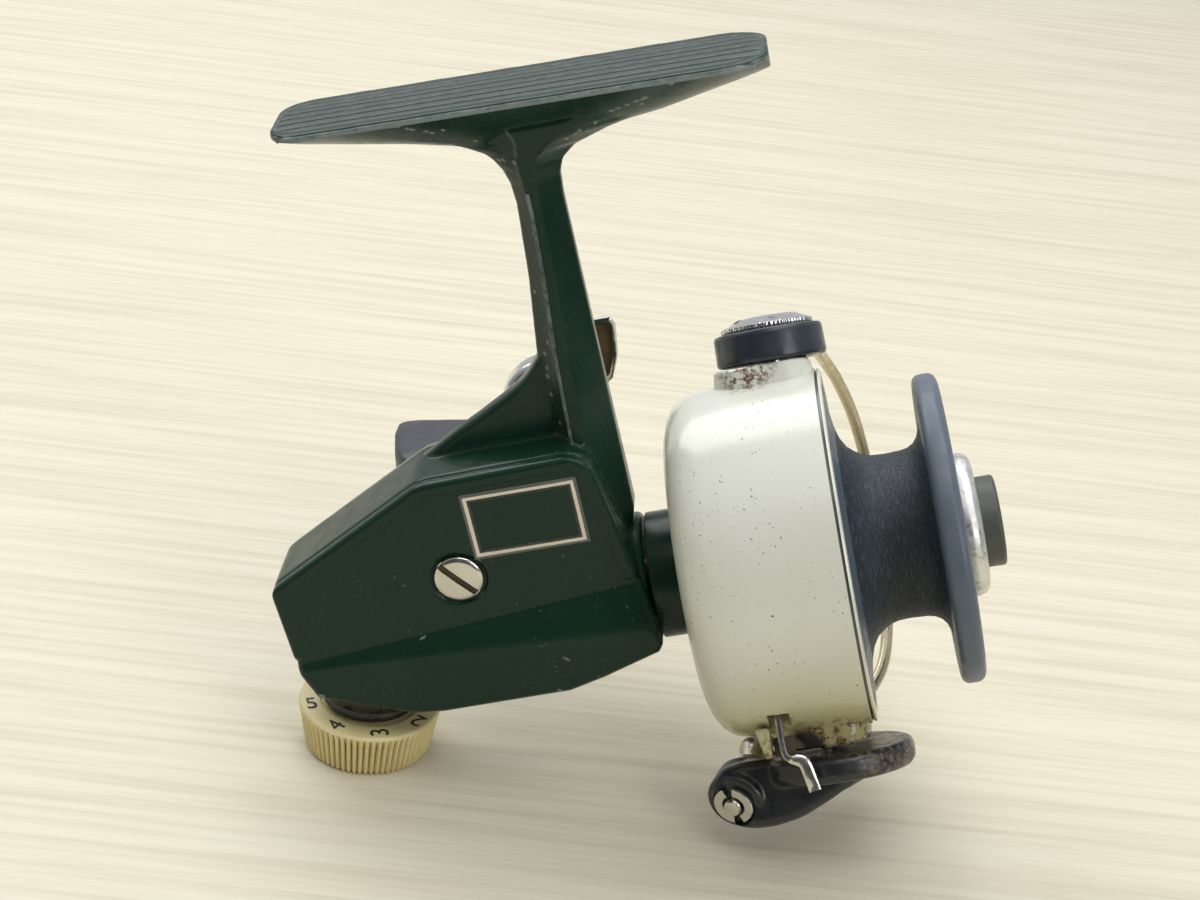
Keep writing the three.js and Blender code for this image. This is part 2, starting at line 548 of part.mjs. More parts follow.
add(reel, "oscillation_yoke", yoke(), "steel");
add(reel, "main_shaft", union(
  rod([SHAFT.rear, 0, 0], [SHAFT.front, 0, 0], SHAFT.radius, 20),
  rod([-54.7, 0, 0], [-53.7, 0, 0], 2.3, 20),
  rod([-50.3, 0, 0], [-49.4, 0, 0], 2.3, 20),
), "steel");
const bore = SHAFT.radius + GAP;
add(reel, "spool", turnedX([
  [-8, bore], [-8, 5.5], [-2.6, 5.5], [-2.6, SPOOL.skirt - 0.2], [-0.9, SPOOL.skirt], [0.3, 21.5],
  [0.5, 16.5], [1.4, 13.4], [3, SPOOL.drum], [10.4, SPOOL.drum], [11.6, 12.8], [12, 14.6],
  [12.2, 20.6], [12.9, SPOOL.rim], [14.8, SPOOL.rim], [SPOOL.front, 20.9], [SPOOL.front, 6.6],
  [13.6, 6.6], [13.6, bore],
], 44), "spool_slate");
add(reel, "spool_disc", turnedX([
  [SPOOL.front + GAP, 6.6], [SPOOL.front + GAP, 9.9], [17.2, 9.9], [18, 8.6], [18, 6.6]], 48), "aluminium");
add(reel, "button_spring", coil(3, 0.3, 14, 17, 3).rotate([0, 90, 0]), "steel");
add(reel, "spool_button", cut(
  turnedX([[15.9, 0], [15.9, 6.2], [20.6, 6.2], [20.9, 5.9], [20.9, 0]], 40),
  rod([15, 0, 0], [19, 0, 0], 4, 24)), "button_grey");

// ---- rear drag ----
add(reel, "drag_sleeve", ringX(-71.5, -64.4, SHAFT.radius + GAP, 4, 32), "brass");
add(dialFrame, "drag_shoe", rod([0, 0, 7.6], [0, 0, 8.2], 2.6, 24), "steel");
add(dialFrame, "drag_spring", coil(2.3, 0.3, 0.7, 7.2, 5), "steel");
add(dialFrame, "drag_spindle", rod([0, 0, -3.5], [0, 0, 7.3], 1.5, 20), "steel");
add(dialFrame, "drag_neck",
  turnedZ([[3.4, GAP], [7, GAP], [7, 4.6], [6.2, 5.1], [3.4, 5.1]], 40), "black_paint");
add(dialFrame, "drag_dial", cut(
  rod([0, 0, -DIAL.height], [0, 0, 0], DIAL.bottom, 48, DIAL.top),
  rod([0, 0, -3.8], [0, 0, 1], 1.8, 20)), "dial_plastic");

export default part;
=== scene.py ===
"""The looks of the spinning reel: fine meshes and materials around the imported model.

Shapes are worked out in millimetres in the reel's own frame (X forward along the rotor axis,
Z up to the foot, zero on the axis at the rotor's rim) and placed through the joints' positions.
"""
import json
import math

import bmesh
import bpy
from mathutils import Matrix, Vector


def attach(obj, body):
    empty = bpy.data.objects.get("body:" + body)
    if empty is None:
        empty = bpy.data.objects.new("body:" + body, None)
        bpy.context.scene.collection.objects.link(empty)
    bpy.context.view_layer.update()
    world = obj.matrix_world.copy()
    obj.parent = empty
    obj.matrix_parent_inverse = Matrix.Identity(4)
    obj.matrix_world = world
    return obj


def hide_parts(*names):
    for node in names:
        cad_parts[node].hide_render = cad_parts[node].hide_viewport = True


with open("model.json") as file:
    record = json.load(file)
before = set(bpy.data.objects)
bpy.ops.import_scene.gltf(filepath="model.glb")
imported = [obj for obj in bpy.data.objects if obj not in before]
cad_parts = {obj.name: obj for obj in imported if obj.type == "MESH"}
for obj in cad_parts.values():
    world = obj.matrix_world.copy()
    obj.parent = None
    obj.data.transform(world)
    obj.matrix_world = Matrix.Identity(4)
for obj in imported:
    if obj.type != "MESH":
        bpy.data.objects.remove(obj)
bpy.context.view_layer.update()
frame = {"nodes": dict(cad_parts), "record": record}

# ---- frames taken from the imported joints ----
MM = 0.001
JOINTS = {joint["name"]: joint for joint in frame["record"]["behaviour"]["joints"]}


def axes_matrix(origin, x_axis, y_axis, z_axis):
    turn = Matrix((x_axis, y_axis, z_axis)).transposed().to_4x4()
    return Matrix.Translation(origin) @ turn @ Matrix.Scale(MM, 4)


AXIS_ORIGIN = Vector(JOINTS["rotor_spin"]["pos_m"])
BAIL_AXIS = -Vector(JOINTS["bail_flip"]["axis"])
FORWARD = Vector((1, 0, 0))
REEL = axes_matrix(AXIS_ORIGIN, FORWARD, Vector((0, 1, 0)), Vector((0, 0, 1)))
ROTOR = axes_matrix(AXIS_ORIGIN, FORWARD, BAIL_AXIS.cross(FORWARD), BAIL_AXIS)
DIAL_AXIS = Vector(JOINTS["drag_adjust"]["axis"])
ACROSS = Vector((0, 1, 0))
DIAL = axes_matrix(Vector(JOINTS["drag_adjust"]["pos_m"]), ACROSS.cross(DIAL_AXIS), ACROSS, DIAL_AXIS)


def reel_mm(point):
    """A point of the part's frame in metres, in the reel's millimetres."""
    return (Vector(point) - AXIS_ORIGIN) / MM


ROLLER_POINT = ROTOR.inverted() @ Vector(JOINTS["roller_spin"]["pos_m"])
ROLLER_AXIS = (ROTOR.to_3x3().inverted() @ Vector(JOINTS["roller_spin"]["axis"])).normalized()
ROLLER_MIDDLE = 9.05


def roller(distance):
    """A point on the roller's axis, measured from the clip's seat on the bail arm."""
    return ROLLER_POINT - ROLLER_AXIS * (distance - ROLLER_MIDDLE)


# ---- meshes as (vertices, faces) ----
def joined(*parts):
    verts, faces = [], []
    for part_verts, part_faces in parts:
        start = len(verts)
        verts += part_verts
        faces += [tuple(i + start for i in face) for face in part_faces]
    return verts, faces


def loft(rings, closed=False):
    """Rings of equal length joined into a skin, capped at both ends unless it closes on itself."""
    count = len(rings[0])
    verts = [Vector(p) for ring in rings for p in ring]
    faces = []
    steps = len(rings) if closed else len(rings) - 1
    for i in range(steps):
        a, b = i * count, ((i + 1) % len(rings)) * count
        for j in range(count):
            k = (j + 1) % count
            faces.append((a + j, a + k, b + k, b + j))
    if not closed:
        faces.append(tuple(reversed(range(count))))
        faces.append(tuple(range(len(verts) - count, len(verts))))
    return verts, faces


def turned(profile, axis="Z", segments=128, ripple=None):
    """A turned solid from (radius, height) points; ripple(angle, radius, height) may change the radius."""
    rings = []
    for radius, height in profile:
        ring = []
        for j in range(segments):
            angle = 2 * math.pi * j / segments
            r = ripple(angle, radius, height) if ripple else radius
            c, s = r * math.cos(angle), r * math.sin(angle)
            ring.append({"Z": (c, s, height), "X": (height, c, s), "Y": (s, height, c)}[axis])
        rings.append(ring)
    return loft(rings, closed=profile[0][0] > 1e-6 and profile[-1][0] > 1e-6)


def rounded_profile(points, radius=0.25, steps=4):
    """Rounds the inner corners of an open profile."""
    out = [points[0]]
    for before, corner, after in zip(points, points[1:], points[2:]):
        out += corner_arc(before, corner, after, radius, steps)
    return out + [points[-1]]


def corner_arc(before, corner, after, radius, steps):
    """Points that round one corner; the arc shrinks where its neighbours are close."""
    p, a, b = Vector(corner), Vector(before), Vector(after)
    u, v = (a - p), (b - p)
    reach = min(radius, 0.48 * u.length, 0.48 * v.length)
    start, end = p + u.normalized() * reach, p + v.normalized() * reach
    points = []
    for i in range(steps + 1):
        t = i / steps
        q = start * (1 - t) ** 2 + p * 2 * t * (1 - t) + end * t * t
        points.append(tuple(q))
    return points


def rounded_outline(points, radius, steps=5):
    out = []
    for i, corner in enumerate(points):
        out += corner_arc(points[i - 1], corner, points[(i + 1) % len(points)], radius, steps)
    return out


def inset(points, distance):
    """A clockwise convex outline moved inwards."""
    moved = []
    for i, corner in enumerate(points):
        normals = []
        for a, b in ((points[i - 1], corner), (corner, points[(i + 1) % len(points)])):
            edge = Vector((b[0] - a[0], b[1] - a[1])).normalized()
            normals.append(Vector((edge.y, -edge.x)))
        scale = distance / (1 + normals[0].dot(normals[1]))
        moved.append((corner[0] + (normals[0].x + normals[1].x) * scale,
                      corner[1] + (normals[0].y + normals[1].y) * scale))
    return moved


def slab(outline, stations, place):
    """An outline carried through (inset, height) stations; place(u, v, height) makes the point."""
    rings = []
    for distance, height, radius in stations:
        ring = rounded_outline(inset(outline, distance), radius)
        rings.append([place(u, v, height) for u, v in ring])
    return loft(rings)


def tube(points, radius, sides=20):
    """A round bar along points; radius is a number or a list, one for each point."""
    path = [Vector(p) for p in points]
    radii = radius if isinstance(radius, list) else [radius] * len(path)
    tangent = (path[1] - path[0]).normalized()
    side = tangent.orthogonal().normalized()
    rings = []
    for i, point in enumerate(path):
        ahead = path[min(i + 1, len(path) - 1)]
        behind = path[max(i - 1, 0)]
        new_tangent = (ahead - behind).normalized()
        side = tangent.rotation_difference(new_tangent) @ side
        tangent = new_tangent
        up = tangent.cross(side)
        rings.append([point + (side * math.cos(a) + up * math.sin(a)) * radii[i]
                      for a in (2 * math.pi * j / sides for j in range(sides))])
    return loft(rings)


def bar(start, end, radius, sides=48):
    return tube([start, end], radius, sides)


def smooth_path(points, steps=10):
    """A Catmull-Rom curve through points."""
    p = [Vector(q) for q in points]
    p = [p[0] * 2 - p[1]] + p + [p[-1] * 2 - p[-2]]
    out = []
    for i in range(1, len(p) - 2):
        for j in range(steps):
            t = j / steps
            a, b, c, d = p[i - 1], p[i], p[i + 1], p[i + 2]
            out.append(0.5 * (2 * b + (c - a) * t + (2 * a - 5 * b + 4 * c - d) * t ** 2
                              + (3 * b - a - 3 * c + d) * t ** 3))
    return out + [p[-2]]


def block(x0, x1, y0, y1, z0, z1):
    corners = [(x0, y0), (x1, y0), (x1, y1), (x0, y1)]
    return loft([[(x, y, z0) for x, y in corners], [(x, y, z1) for x, y in corners]])


def along(place, stations):
    """Linear interpolation in a list of (station, value) pairs."""
    if place <= stations[0][0]:
        return stations[0][1]
    for (a, va), (b, vb) in zip(stations, stations[1:]):
        if place <= b:
            return va + (vb - va) * (place - a) / (b - a)
    return stations[-1][1]


def ease(t):
    """A smooth step from 0 to 1."""
    t = min(1, max(0, t))
    return t * t * (3 - 2 * t)


# ---- objects ----
def make_mesh(name, shape, matrix=None):
    mesh = bpy.data.meshes.new(name)
    verts, faces = shape
    mesh.from_pydata([tuple(v) for v in verts], [], faces)
    solid = bmesh.new()
    solid.from_mesh(mesh)
    bmesh.ops.remove_doubles(solid, verts=solid.verts, dist=1e-4)
    bmesh.ops.recalc_face_normals(solid, faces=solid.faces)
    if matrix:
        bmesh.ops.transform(solid, matrix=matrix, verts=solid.verts)
    solid.to_mesh(mesh)
    solid.free()
    return mesh


def placed(name, data):
    """A new object in the scene."""
    made = bpy.data.objects.new(name, data)
    bpy.context.scene.collection.objects.link(made)
    return made


def shape_of(mesh):
    """A mesh as (vertices, faces)."""
    return [v.co.copy() for v in mesh.vertices], [tuple(p.vertices) for p in mesh.polygons]


def applied(mesh, *modifiers):
    """The mesh after a stack of modifiers, each given as (kind, settings)."""
    holder = placed("holder", mesh)
    for kind, settings in modifiers:
        modifier = holder.modifiers.new(kind, kind)
        for key, value in settings.items():
            setattr(modifier, key, value)
    graph = bpy.context.evaluated_depsgraph_get()
    done = bpy.data.meshes.new_from_object(holder.evaluated_get(graph))
    bpy.data.objects.remove(holder)
    return done


def fused(shapes, voxel, rounds):
    """Overlapping solids melted into one casting with small fillets, in millimetres."""
    mesh = make_mesh("fused", joined(*shapes))
    done = applied(mesh, ("REMESH", {"mode": "VOXEL", "voxel_size": voxel}),
                   ("SMOOTH", {"factor": 0.5, "iterations": rounds}))
    return shape_of(done)


def carved(shape, *cutters):
    """A solid with others cut from it, in millimetres."""
    mesh = make_mesh("carved", shape)
    for cutter in cutters:
        tool = placed("cutter", make_mesh("cutter", cutter))
        mesh = applied(mesh, ("BOOLEAN", {"operation": "DIFFERENCE", "object": tool, "solver": "EXACT"}))
        bpy.data.objects.remove(tool)
    return shape_of(mesh)


def piece(name, shape, matrix, material, body, nodes=(), bevel=0, angle=40):
    """A visible piece of the reel: a mesh in millimetres, placed, finished and tied to its body."""
    mesh = make_mesh(name, shape, matrix)
    if bevel:
        mesh = applied(mesh, ("BEVEL", {"width": bevel * MM, "segments": 3, "limit_method": "ANGLE",
                                        "angle_limit": math.radians(35)}))
    mesh.name = name
    mesh.shade_smooth()
    mesh.set_sharp_from_angle(angle=math.radians(angle))
    mesh.materials.clear()
    mesh.materials.append(material)
    made = placed(name, mesh)
    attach(made, body)
    if nodes:
        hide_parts(*nodes)
    return made


# ---- materials ----
class Finish:
    """A node material with a Principled shader; textures use the piece's own coordinates in mm."""

    def __init__(self, name, color=(0.5, 0.5, 0.5), roughness=0.4, metallic=0.0, coat=0.0):
        self.material = bpy.data.materials.new(name)
        self.material.use_nodes = True
        self.tree = self.material.node_tree
        self.shader = next(n for n in self.tree.nodes if n.type == "BSDF_PRINCIPLED")
        self.shader.inputs["Base Color"].default_value = (*color, 1)
        self.shader.inputs["Roughness"].default_value = roughness
        self.shader.inputs["Metallic"].default_value = metallic
        self.shader.inputs["Coat Weight"].default_value = coat
        self.shader.inputs["Coat Roughness"].default_value = 0.15
        coordinates = self.tree.nodes.new("ShaderNodeTexCoord")
        scaled = self.node("ShaderNodeVectorMath", operation="SCALE")
        scaled.inputs["Scale"].default_value = 1 / MM
        self.link(coordinates.outputs["Object"], scaled.inputs[0])
        self.place = scaled.outputs[0]

    def node(self, kind, **settings):
        made = self.tree.nodes.new(kind)
        for key, value in settings.items():
            setattr(made, key, value)
        return made

    def link(self, a, b):
        self.tree.links.new(a, b)

    def stretched(self, factors):
        made = self.node("ShaderNodeVectorMath", operation="MULTIPLY")
        made.inputs[1].default_value = factors
        self.link(self.place, made.inputs[0])
        return made.outputs[0]

    def noise(self, size, detail=3, rough=0.55, vector=None):
        """Noise whose blotches are about size millimetres across."""
        made = self.node("ShaderNodeTexNoise")
        made.inputs["Scale"].default_value = 1 / size
        made.inputs["Detail"].default_value = detail
        made.inputs["Roughness"].default_value = rough
        self.link(vector or self.place, made.inputs["Vector"])
        return made.outputs["Fac"]

    def band(self, value, low, high, to_low=0.0, to_high=1.0):
        """Maps low..high smoothly to to_low..to_high."""
        made = self.node("ShaderNodeMapRange", interpolation_type="SMOOTHSTEP")
        for key, number in (("From Min", low), ("From Max", high), ("To Min", to_low), ("To Max", to_high)):
            made.inputs[key].default_value = number
        self.link(value, made.inputs["Value"])
        return made.outputs["Result"]

    def math(self, operation, a, b):
        made = self.node("ShaderNodeMath", operation=operation)
        for socket, value in zip(made.inputs, (a, b)):
            if isinstance(value, (int, float)):
                socket.default_value = value
            else:
                self.link(value, socket)
        return made.outputs[0]

    def worn_edges(self, low, high):
        """1 on the mesh's sharp ridges, with a ragged border, 0 on its flats."""
        geometry = self.node("ShaderNodeNewGeometry")
        ragged = self.math("MULTIPLY", self.math("SUBTRACT", self.noise(1.2, 6, 0.7), 0.5), 0.16)
        return self.band(self.math("ADD", geometry.outputs["Pointiness"], ragged), low, high)

    def near(self, point, reach, soft):
        """1 close to a point in millimetres of the part's frame, 0 beyond reach."""
        made = self.node("ShaderNodeVectorMath", operation="DISTANCE")
        self.link(self.place, made.inputs[0])
        made.inputs[1].default_value = tuple(point)
        return self.band(made.outputs["Value"], reach, reach - soft)

    def mix(self, factor, a, b):
        made = self.node("ShaderNodeMix", data_type="RGBA")
        for name, value in (("A", a), ("B", b)):
            socket = next(s for s in made.inputs if s.name == name and s.type == "RGBA")
            if isinstance(value, tuple):
                socket.default_value = (*value, 1)
            else:
                self.link(value, socket)
        self.link(factor, made.inputs["Factor"])
        return next(s for s in made.outputs if s.type == "RGBA")

    def color(self, socket):
        self.link(socket, self.shader.inputs["Base Color"])

    def roughness(self, socket):
        self.link(socket, self.shader.inputs["Roughness"])

    def bump(self, height, depth, strength=1.0):
        """Bump of about depth millimetres; a second call adds to the first."""
        made = self.node("ShaderNodeBump")
        made.inputs["Strength"].default_value = strength
        made.inputs["Distance"].default_value = depth * MM
        self.link(height, made.inputs["Height"])
        used = self.shader.inputs["Normal"]
        if used.is_linked:
            self.link(used.links[0].from_socket, made.inputs["Normal"])
        self.link(made.outputs["Normal"], used)


def green_paint():
    f = Finish("green_paint", roughness=0.25)
    f.shader.inputs["Specular IOR Level"].default_value = 0.24
    base = f.mix(f.noise(9, 4), (0.005, 0.024, 0.013), (0.009, 0.034, 0.02))
    specks = f.band(f.noise(0.5, 2), 0.7, 0.76)
    dusty = f.mix(f.math("MULTIPLY", specks, f.band(f.noise(8, 2), 0.45, 0.65)), base, (0.2, 0.21, 0.18))
    edges = f.worn_edges(0.55, 0.63)
    f.color(f.mix(edges, dusty, (0.17, 0.2, 0.19)))
    f.roughness(f.math("ADD", f.band(f.noise(3, 5), 0.3, 0.8, 0.2, 0.34), f.math("MULTIPLY", edges, 0.2)))
    f.bump(f.noise(1.6, 3), 0.02, 0.6)
    f.bump(f.noise(0.3, 2), 0.006, 0.5)
    return f.material


def ribbed_paint():
    """The foot's paint: satin, rubbed grey on the ribs."""
    f = Finish("ribbed_paint", roughness=0.4)
    f.shader.inputs["Specular IOR Level"].default_value = 0.35
    base = f.mix(f.noise(6, 4), (0.014, 0.03, 0.022), (0.03, 0.052, 0.042))
    edges = f.worn_edges(0.51, 0.58)
    f.color(f.mix(edges, base, (0.16, 0.19, 0.17)))
    f.roughness(f.band(f.noise(2, 5), 0.3, 0.7, 0.3, 0.5))
    f.bump(f.noise(0.5, 4), 0.02, 0.7)
    return f.material


def ivory():
    f = Finish("ivory", roughness=0.22, coat=0.4)
    slot_place = (ROTOR @ Vector((-13, -12, -25))) / MM
    collar_place = (ROTOR @ Vector((-6, -6, -27))) / MM
    ring_place = (ROTOR @ Vector((-10, -7, 27))) / MM
    low_stain_and_shade_place = (ROTOR @ Vector((-9, -4, -38))) / MM
    base = f.mix(f.noise(12, 3), (0.66, 0.67, 0.56), (0.74, 0.75, 0.66))
    # Yellower and darker towards the rotor's lower side: partly staining, partly painted shade.
    low_stain_and_shade = f.mix(f.near(low_stain_and_shade_place, 36, 24), base, (0.47, 0.42, 0.19))
    stain = f.math("MULTIPLY", f.band(f.noise(1.6, 6, 0.7), 0.45, 0.6), f.near(slot_place, 6.5, 5))
    under = f.math("MULTIPLY", f.band(f.noise(1.4, 6, 0.75), 0.46, 0.58), f.near(collar_place, 8.5, 4))
    upper = f.math("MULTIPLY", f.band(f.noise(1.1, 6, 0.75), 0.45, 0.56), f.near(ring_place, 5.5, 3))
    rusty = f.mix(f.math("MAXIMUM", f.math("MAXIMUM", stain, under), upper), low_stain_and_shade, (0.13, 0.065, 0.02))
    shade_place = (ROTOR @ Vector((-10.6, -7.4, -26.8))) / MM
    shaded = f.mix(f.near(shade_place, 4, 1.6), rusty, (0.02, 0.016, 0.012))
    specks = f.band(f.noise(0.42, 2, 0.4), 0.7, 0.735)
    sparse = f.math("MULTIPLY", specks, f.band(f.noise(6, 2), 0.42, 0.6))
    specked = f.mix(sparse, shaded, (0.1, 0.08, 0.05))
    # A thin dark band in the groove just behind the rim: painted shade in the groove.
    along_axis = f.node("ShaderNodeSeparateXYZ")
    f.link(f.place, along_axis.inputs[0])
    rim = AXIS_ORIGIN.x / MM
    behind = f.band(along_axis.outputs["X"], rim - 0.86, rim - 0.74)
    before = f.band(along_axis.outputs["X"], rim - 0.34, rim - 0.46)
    f.color(f.mix(f.math("MULTIPLY", f.math("MULTIPLY", behind, before), 0.9), specked, (0.06, 0.055, 0.05)))
    f.roughness(f.band(f.noise(14, 2), 0.3, 0.7, 0.2, 0.27))
    return f.material


def slate():
    f = Finish("slate_enamel", roughness=0.42)
    turned_lines = f.noise(0.35, 3, 0.6, f.stretched((6, 0.35, 0.35)))
    base = f.mix(f.noise(5, 4), (0.07, 0.092, 0.12), (0.115, 0.142, 0.18))
    f.color(f.mix(f.worn_edges(0.55, 0.62), base, (0.2, 0.19, 0.16)))
    f.roughness(f.band(f.noise(2, 4), 0.3, 0.7, 0.34, 0.5))
    f.bump(turned_lines, 0.012, 0.5)
    return f.material


def grainy_drum():
    """The spool's drum: rough dark enamel with fine pale fibres caught in it."""
    f = Finish("grainy_drum", roughness=0.6)
    grain = f.noise(0.35, 4, 0.7)
    streaks = f.noise(0.4, 3, 0.7, f.stretched((2.2, 0.3, 0.25)))
    base = f.mix(f.noise(3, 5), (0.012, 0.019, 0.024), (0.034, 0.047, 0.06))
    f.color(f.mix(f.math("MULTIPLY", f.band(streaks, 0.5, 0.72), 0.45), base, (0.15, 0.17, 0.17)))
    f.roughness(f.band(grain, 0.3, 0.7, 0.45, 0.75))
    f.bump(grain, 0.08, 0.8)
    return f.material


def black_enamel(name="black_enamel", wear=0.57, color=(0.009, 0.01, 0.011)):
    f = Finish(name, roughness=0.33, coat=0.15)
    base = f.mix(f.noise(5, 4), color, tuple(c * 1.9 for c in color))
    edges = f.worn_edges(wear, wear + 0.09)
    f.color(f.mix(edges, base, (0.11, 0.11, 0.1)))
    f.roughness(f.band(f.noise(2.2, 5), 0.3, 0.7, 0.24, 0.46))
    f.bump(f.noise(0.9, 4), 0.03, 0.5)
    return f.material


def dirty_arm():
    """Black enamel with brown grime on the face that touches the rotor."""
    f = Finish("arm_enamel", roughness=0.36, coat=0.15)
    grime_place = (ROTOR @ Vector((-1, -4, -26.5))) / MM
    base = f.mix(f.noise(5, 4), (0.007, 0.008, 0.009), (0.02, 0.023, 0.024))
    grime = f.math("MULTIPLY", f.band(f.noise(0.9, 6, 0.75), 0.47, 0.6), f.near(grime_place, 9, 4))
    dirty = f.mix(grime, base, (0.16, 0.12, 0.075))
    f.color(f.mix(f.worn_edges(0.57, 0.66), dirty, (0.1, 0.1, 0.09)))
    f.roughness(f.band(f.noise(2.2, 5), 0.3, 0.7, 0.25, 0.5))
    f.bump(f.noise(0.9, 5), 0.04, 0.6)
    return f.material


def metal(name, dark, light, roughness, tarnish=(0.2, 0.14, 0.07), amount=0.66, streak=None):
    f = Finish(name, roughness=roughness, metallic=1.0)
    base = f.mix(f.noise(4, 4), dark, light)
    f.color(f.mix(f.band(f.noise(1.3, 6, 0.7), amount, amount + 0.1), base, tarnish))
    f.roughness(f.band(f.noise(1.5, 5), 0.3, 0.7, roughness * 0.7, roughness * 1.4))
    lines = f.noise(0.3, 2, 0.5, f.stretched(streak)) if streak else f.noise(0.6, 3)
    f.bump(lines, 0.01, 0.4)
    return f.material


def moulding(name, dark, light, roughness, grain=0.02, hollow_tint=None):
    f = Finish(name, roughness=roughness)
    base = f.mix(f.noise(6, 4), dark, light)
    if hollow_tint:
        # Darker and browner in the mesh's hollows, such as the flutes.
        geometry = f.node("ShaderNodeNewGeometry")
        hollows = f.band(geometry.outputs["Pointiness"], 0.49, 0.42)
        base = f.mix(f.math("MULTIPLY", hollows, 0.75), base, hollow_tint)
    f.color(base)
    f.roughness(f.band(f.noise(2, 4), 0.3, 0.7, roughness * 0.8, roughness * 1.2))
    f.bump(f.noise(0.4, 3), grain, 0.6)
    return f.material


GREEN = green_paint()
RIBBED = ribbed_paint()
IVORY = ivory()
SLATE = slate()
DRUM = grainy_drum()
BLACK = black_enamel()
RING_BLACK = black_enamel("ring_enamel", 0.56, (0.016, 0.021, 0.028))
ARM_BLACK = dirty_arm()
NICKEL = metal("nickel_plate", (0.55, 0.53, 0.47), (0.72, 0.7, 0.64), 0.2)
RUSTY_CHROME = metal("rusty_chrome", (0.6, 0.6, 0.6), (0.75, 0.75, 0.74), 0.12, (0.2, 0.1, 0.03), 0.6)
STEEL = metal("machined_steel", (0.4, 0.4, 0.41), (0.52, 0.52, 0.53), 0.34)
WIRE = metal("tarnished_wire", (0.5, 0.43, 0.29), (0.62, 0.56, 0.4), 0.3, (0.3, 0.22, 0.11), 0.62)
ALUMINIUM = metal("turned_aluminium", (0.66, 0.66, 0.64), (0.78, 0.78, 0.76), 0.46, (0.45, 0.4, 0.28), 0.55,
                  (5, 0.3, 0.3))
BUTTON = moulding("button_grey", (0.05, 0.055, 0.045), (0.085, 0.09, 0.075), 0.45, 0.04)
BRASS = metal("machined_brass", (0.45, 0.31, 0.12), (0.58, 0.42, 0.18), 0.3)
GLOSS_BLACK = moulding("gloss_black", (0.006, 0.008, 0.007), (0.012, 0.015, 0.013), 0.12, 0.01)
DIAL_IVORY = moulding("aged_ivory", (0.69, 0.57, 0.25), (0.79, 0.69, 0.37), 0.42, 0.015, (0.2, 0.13, 0.04))
INK = moulding("numeral_ink", (0.02, 0.018, 0.014), (0.045, 0.04, 0.03), 0.6, 0.01)
# Dark brown filler: painted shade in the rotor's slot, dirt and painted shade in the cover screw's slot.
SHADE_AND_GRIME = moulding("painted_shade_and_grime", (0.02, 0.016, 0.01), (0.12, 0.1, 0.06), 0.8, 0.08)
KNOB = moulding("knob_moulding", (0.024, 0.026, 0.036), (0.042, 0.044, 0.058), 0.5, 0.02)

# ---- body: housing, stem, gusset and foot ----
HOUSING = [
    (-78.8, 12.3), (-55, 24.6), (-34, 25.1), (-31.6, 23.5), (-26.9, -4.2), (-27.7, -5.6),
    (-36, -8.8), (-41.3, -10.4), (-59.5, -11), (-64, -10.6), (-76.8, -5.8), (-78.3, -1.7),
]
HOUSING_FAR = 9
SEAM = -8.05
CRANK = reel_mm(JOINTS["crank_turn"]["pos_m"])
SEAT_X, SEAT_Z, SEAT_RISE = -30.0, 73.7, 0.0316


def upright(u, v, y):
    """Places an outline drawn in X and Z at its own depth."""
    return (u, y, v)


def housing_shell():
    stations = [(0.5, SEAM + 0.1, 1.2), (0.05, SEAM + 0.5, 1.2), (0, SEAM + 1, 1.2), (0.1, 2.5, 1.6),
                (0.8, 5, 2), (2, 7, 2.4), (3.4, 8.2, 3), (5.5, HOUSING_FAR, 3)]
    return slab(HOUSING, stations, upright)


def gear_bulge():
    profile = [(0, 4), (10.6, 4), (10.5, 8.4), (10, 9.8), (8.8, 10.7), (7.2, 11), (6.3, 11.4), (6.1, 13.2),
               (5.7, 13.6), (0, 13.6)]
    verts, faces = turned(rounded_profile(profile, 0.5), "Y", 96)
    return [v + Vector((CRANK.x, 0, CRANK.z)) for v in verts], faces


STEM_FRONT = [(8, -29.2), (12, -28), (58, -28), (61, -27.8), (63, -27), (64.6, -25), (66, -20.5), (67, -16),
              (69, -8)]
STEM_REAR = [(14, -37.5), (24, -36.8), (37, -36.2), (48, -34.9), (58, -34.2), (61, -34.4), (63.8, -35.2),
             (65.4, -36.6), (66.6, -38.6), (67.8, -41), (69, -44)]
STEM_HALF = [(8, 7.4), (16, 6.6), (26, 5), (37, 4.1), (58, 3.4), (62, 3.6), (64.6, 4.2), (67, 5), (69, 5.4)]


STEM_HEIGHTS = [8, 12, 16, 20, 25, 31, 37, 43, 48, 53, 58, 61, 63, 64.6, 65.4, 66, 66.6, 67, 68, 69]


def stem():
    """A faceted post that flares into the foot."""
    rings = []
    for z in STEM_HEIGHTS:
        front, rear, half = along(z, STEM_FRONT), along(z, STEM_REAR), along(z, STEM_HALF)
        ridge_front = front - 0.48 * (front - rear)
        ridge_rear = rear + 0.32 * (front - rear)
        near_side = [(front, -0.28 * half), (ridge_front, -half), (ridge_rear, -half),
                     (ridge_rear - 0.4, -0.86 * half),
                     (rear, -0.3 * half)]
        ring = [(x, y, z) for x, y in near_side]
        ring += [(x, -y, z) for x, y in reversed(near_side)]
        rings.append(ring)
    return loft(rings)


def gusset():
    """The web behind the stem, which thickens towards its top."""
    top = [(-34, 39.5), (-36.1, 36.7), (-39.6, 33), (-45.1, 29.8), (-50.2, 27.2), (-56, 23.8)]
    low = 20
    path = smooth_path([(x, 0, z) for x, z in top], 6)
    rings = []
    for p in path:
        half = 1.25 + 0.06 * max(0.0, p.z - 24)
        outline = [(-half - 0.5, low), (half + 0.5, low), (half, p.z - 0.5), (half * 0.6, p.z),
                   (-half * 0.6, p.z), (-half, p.z - 0.5)]
        rings.append([(p.x, y, z) for y, z in outline])
    return loft(rings)


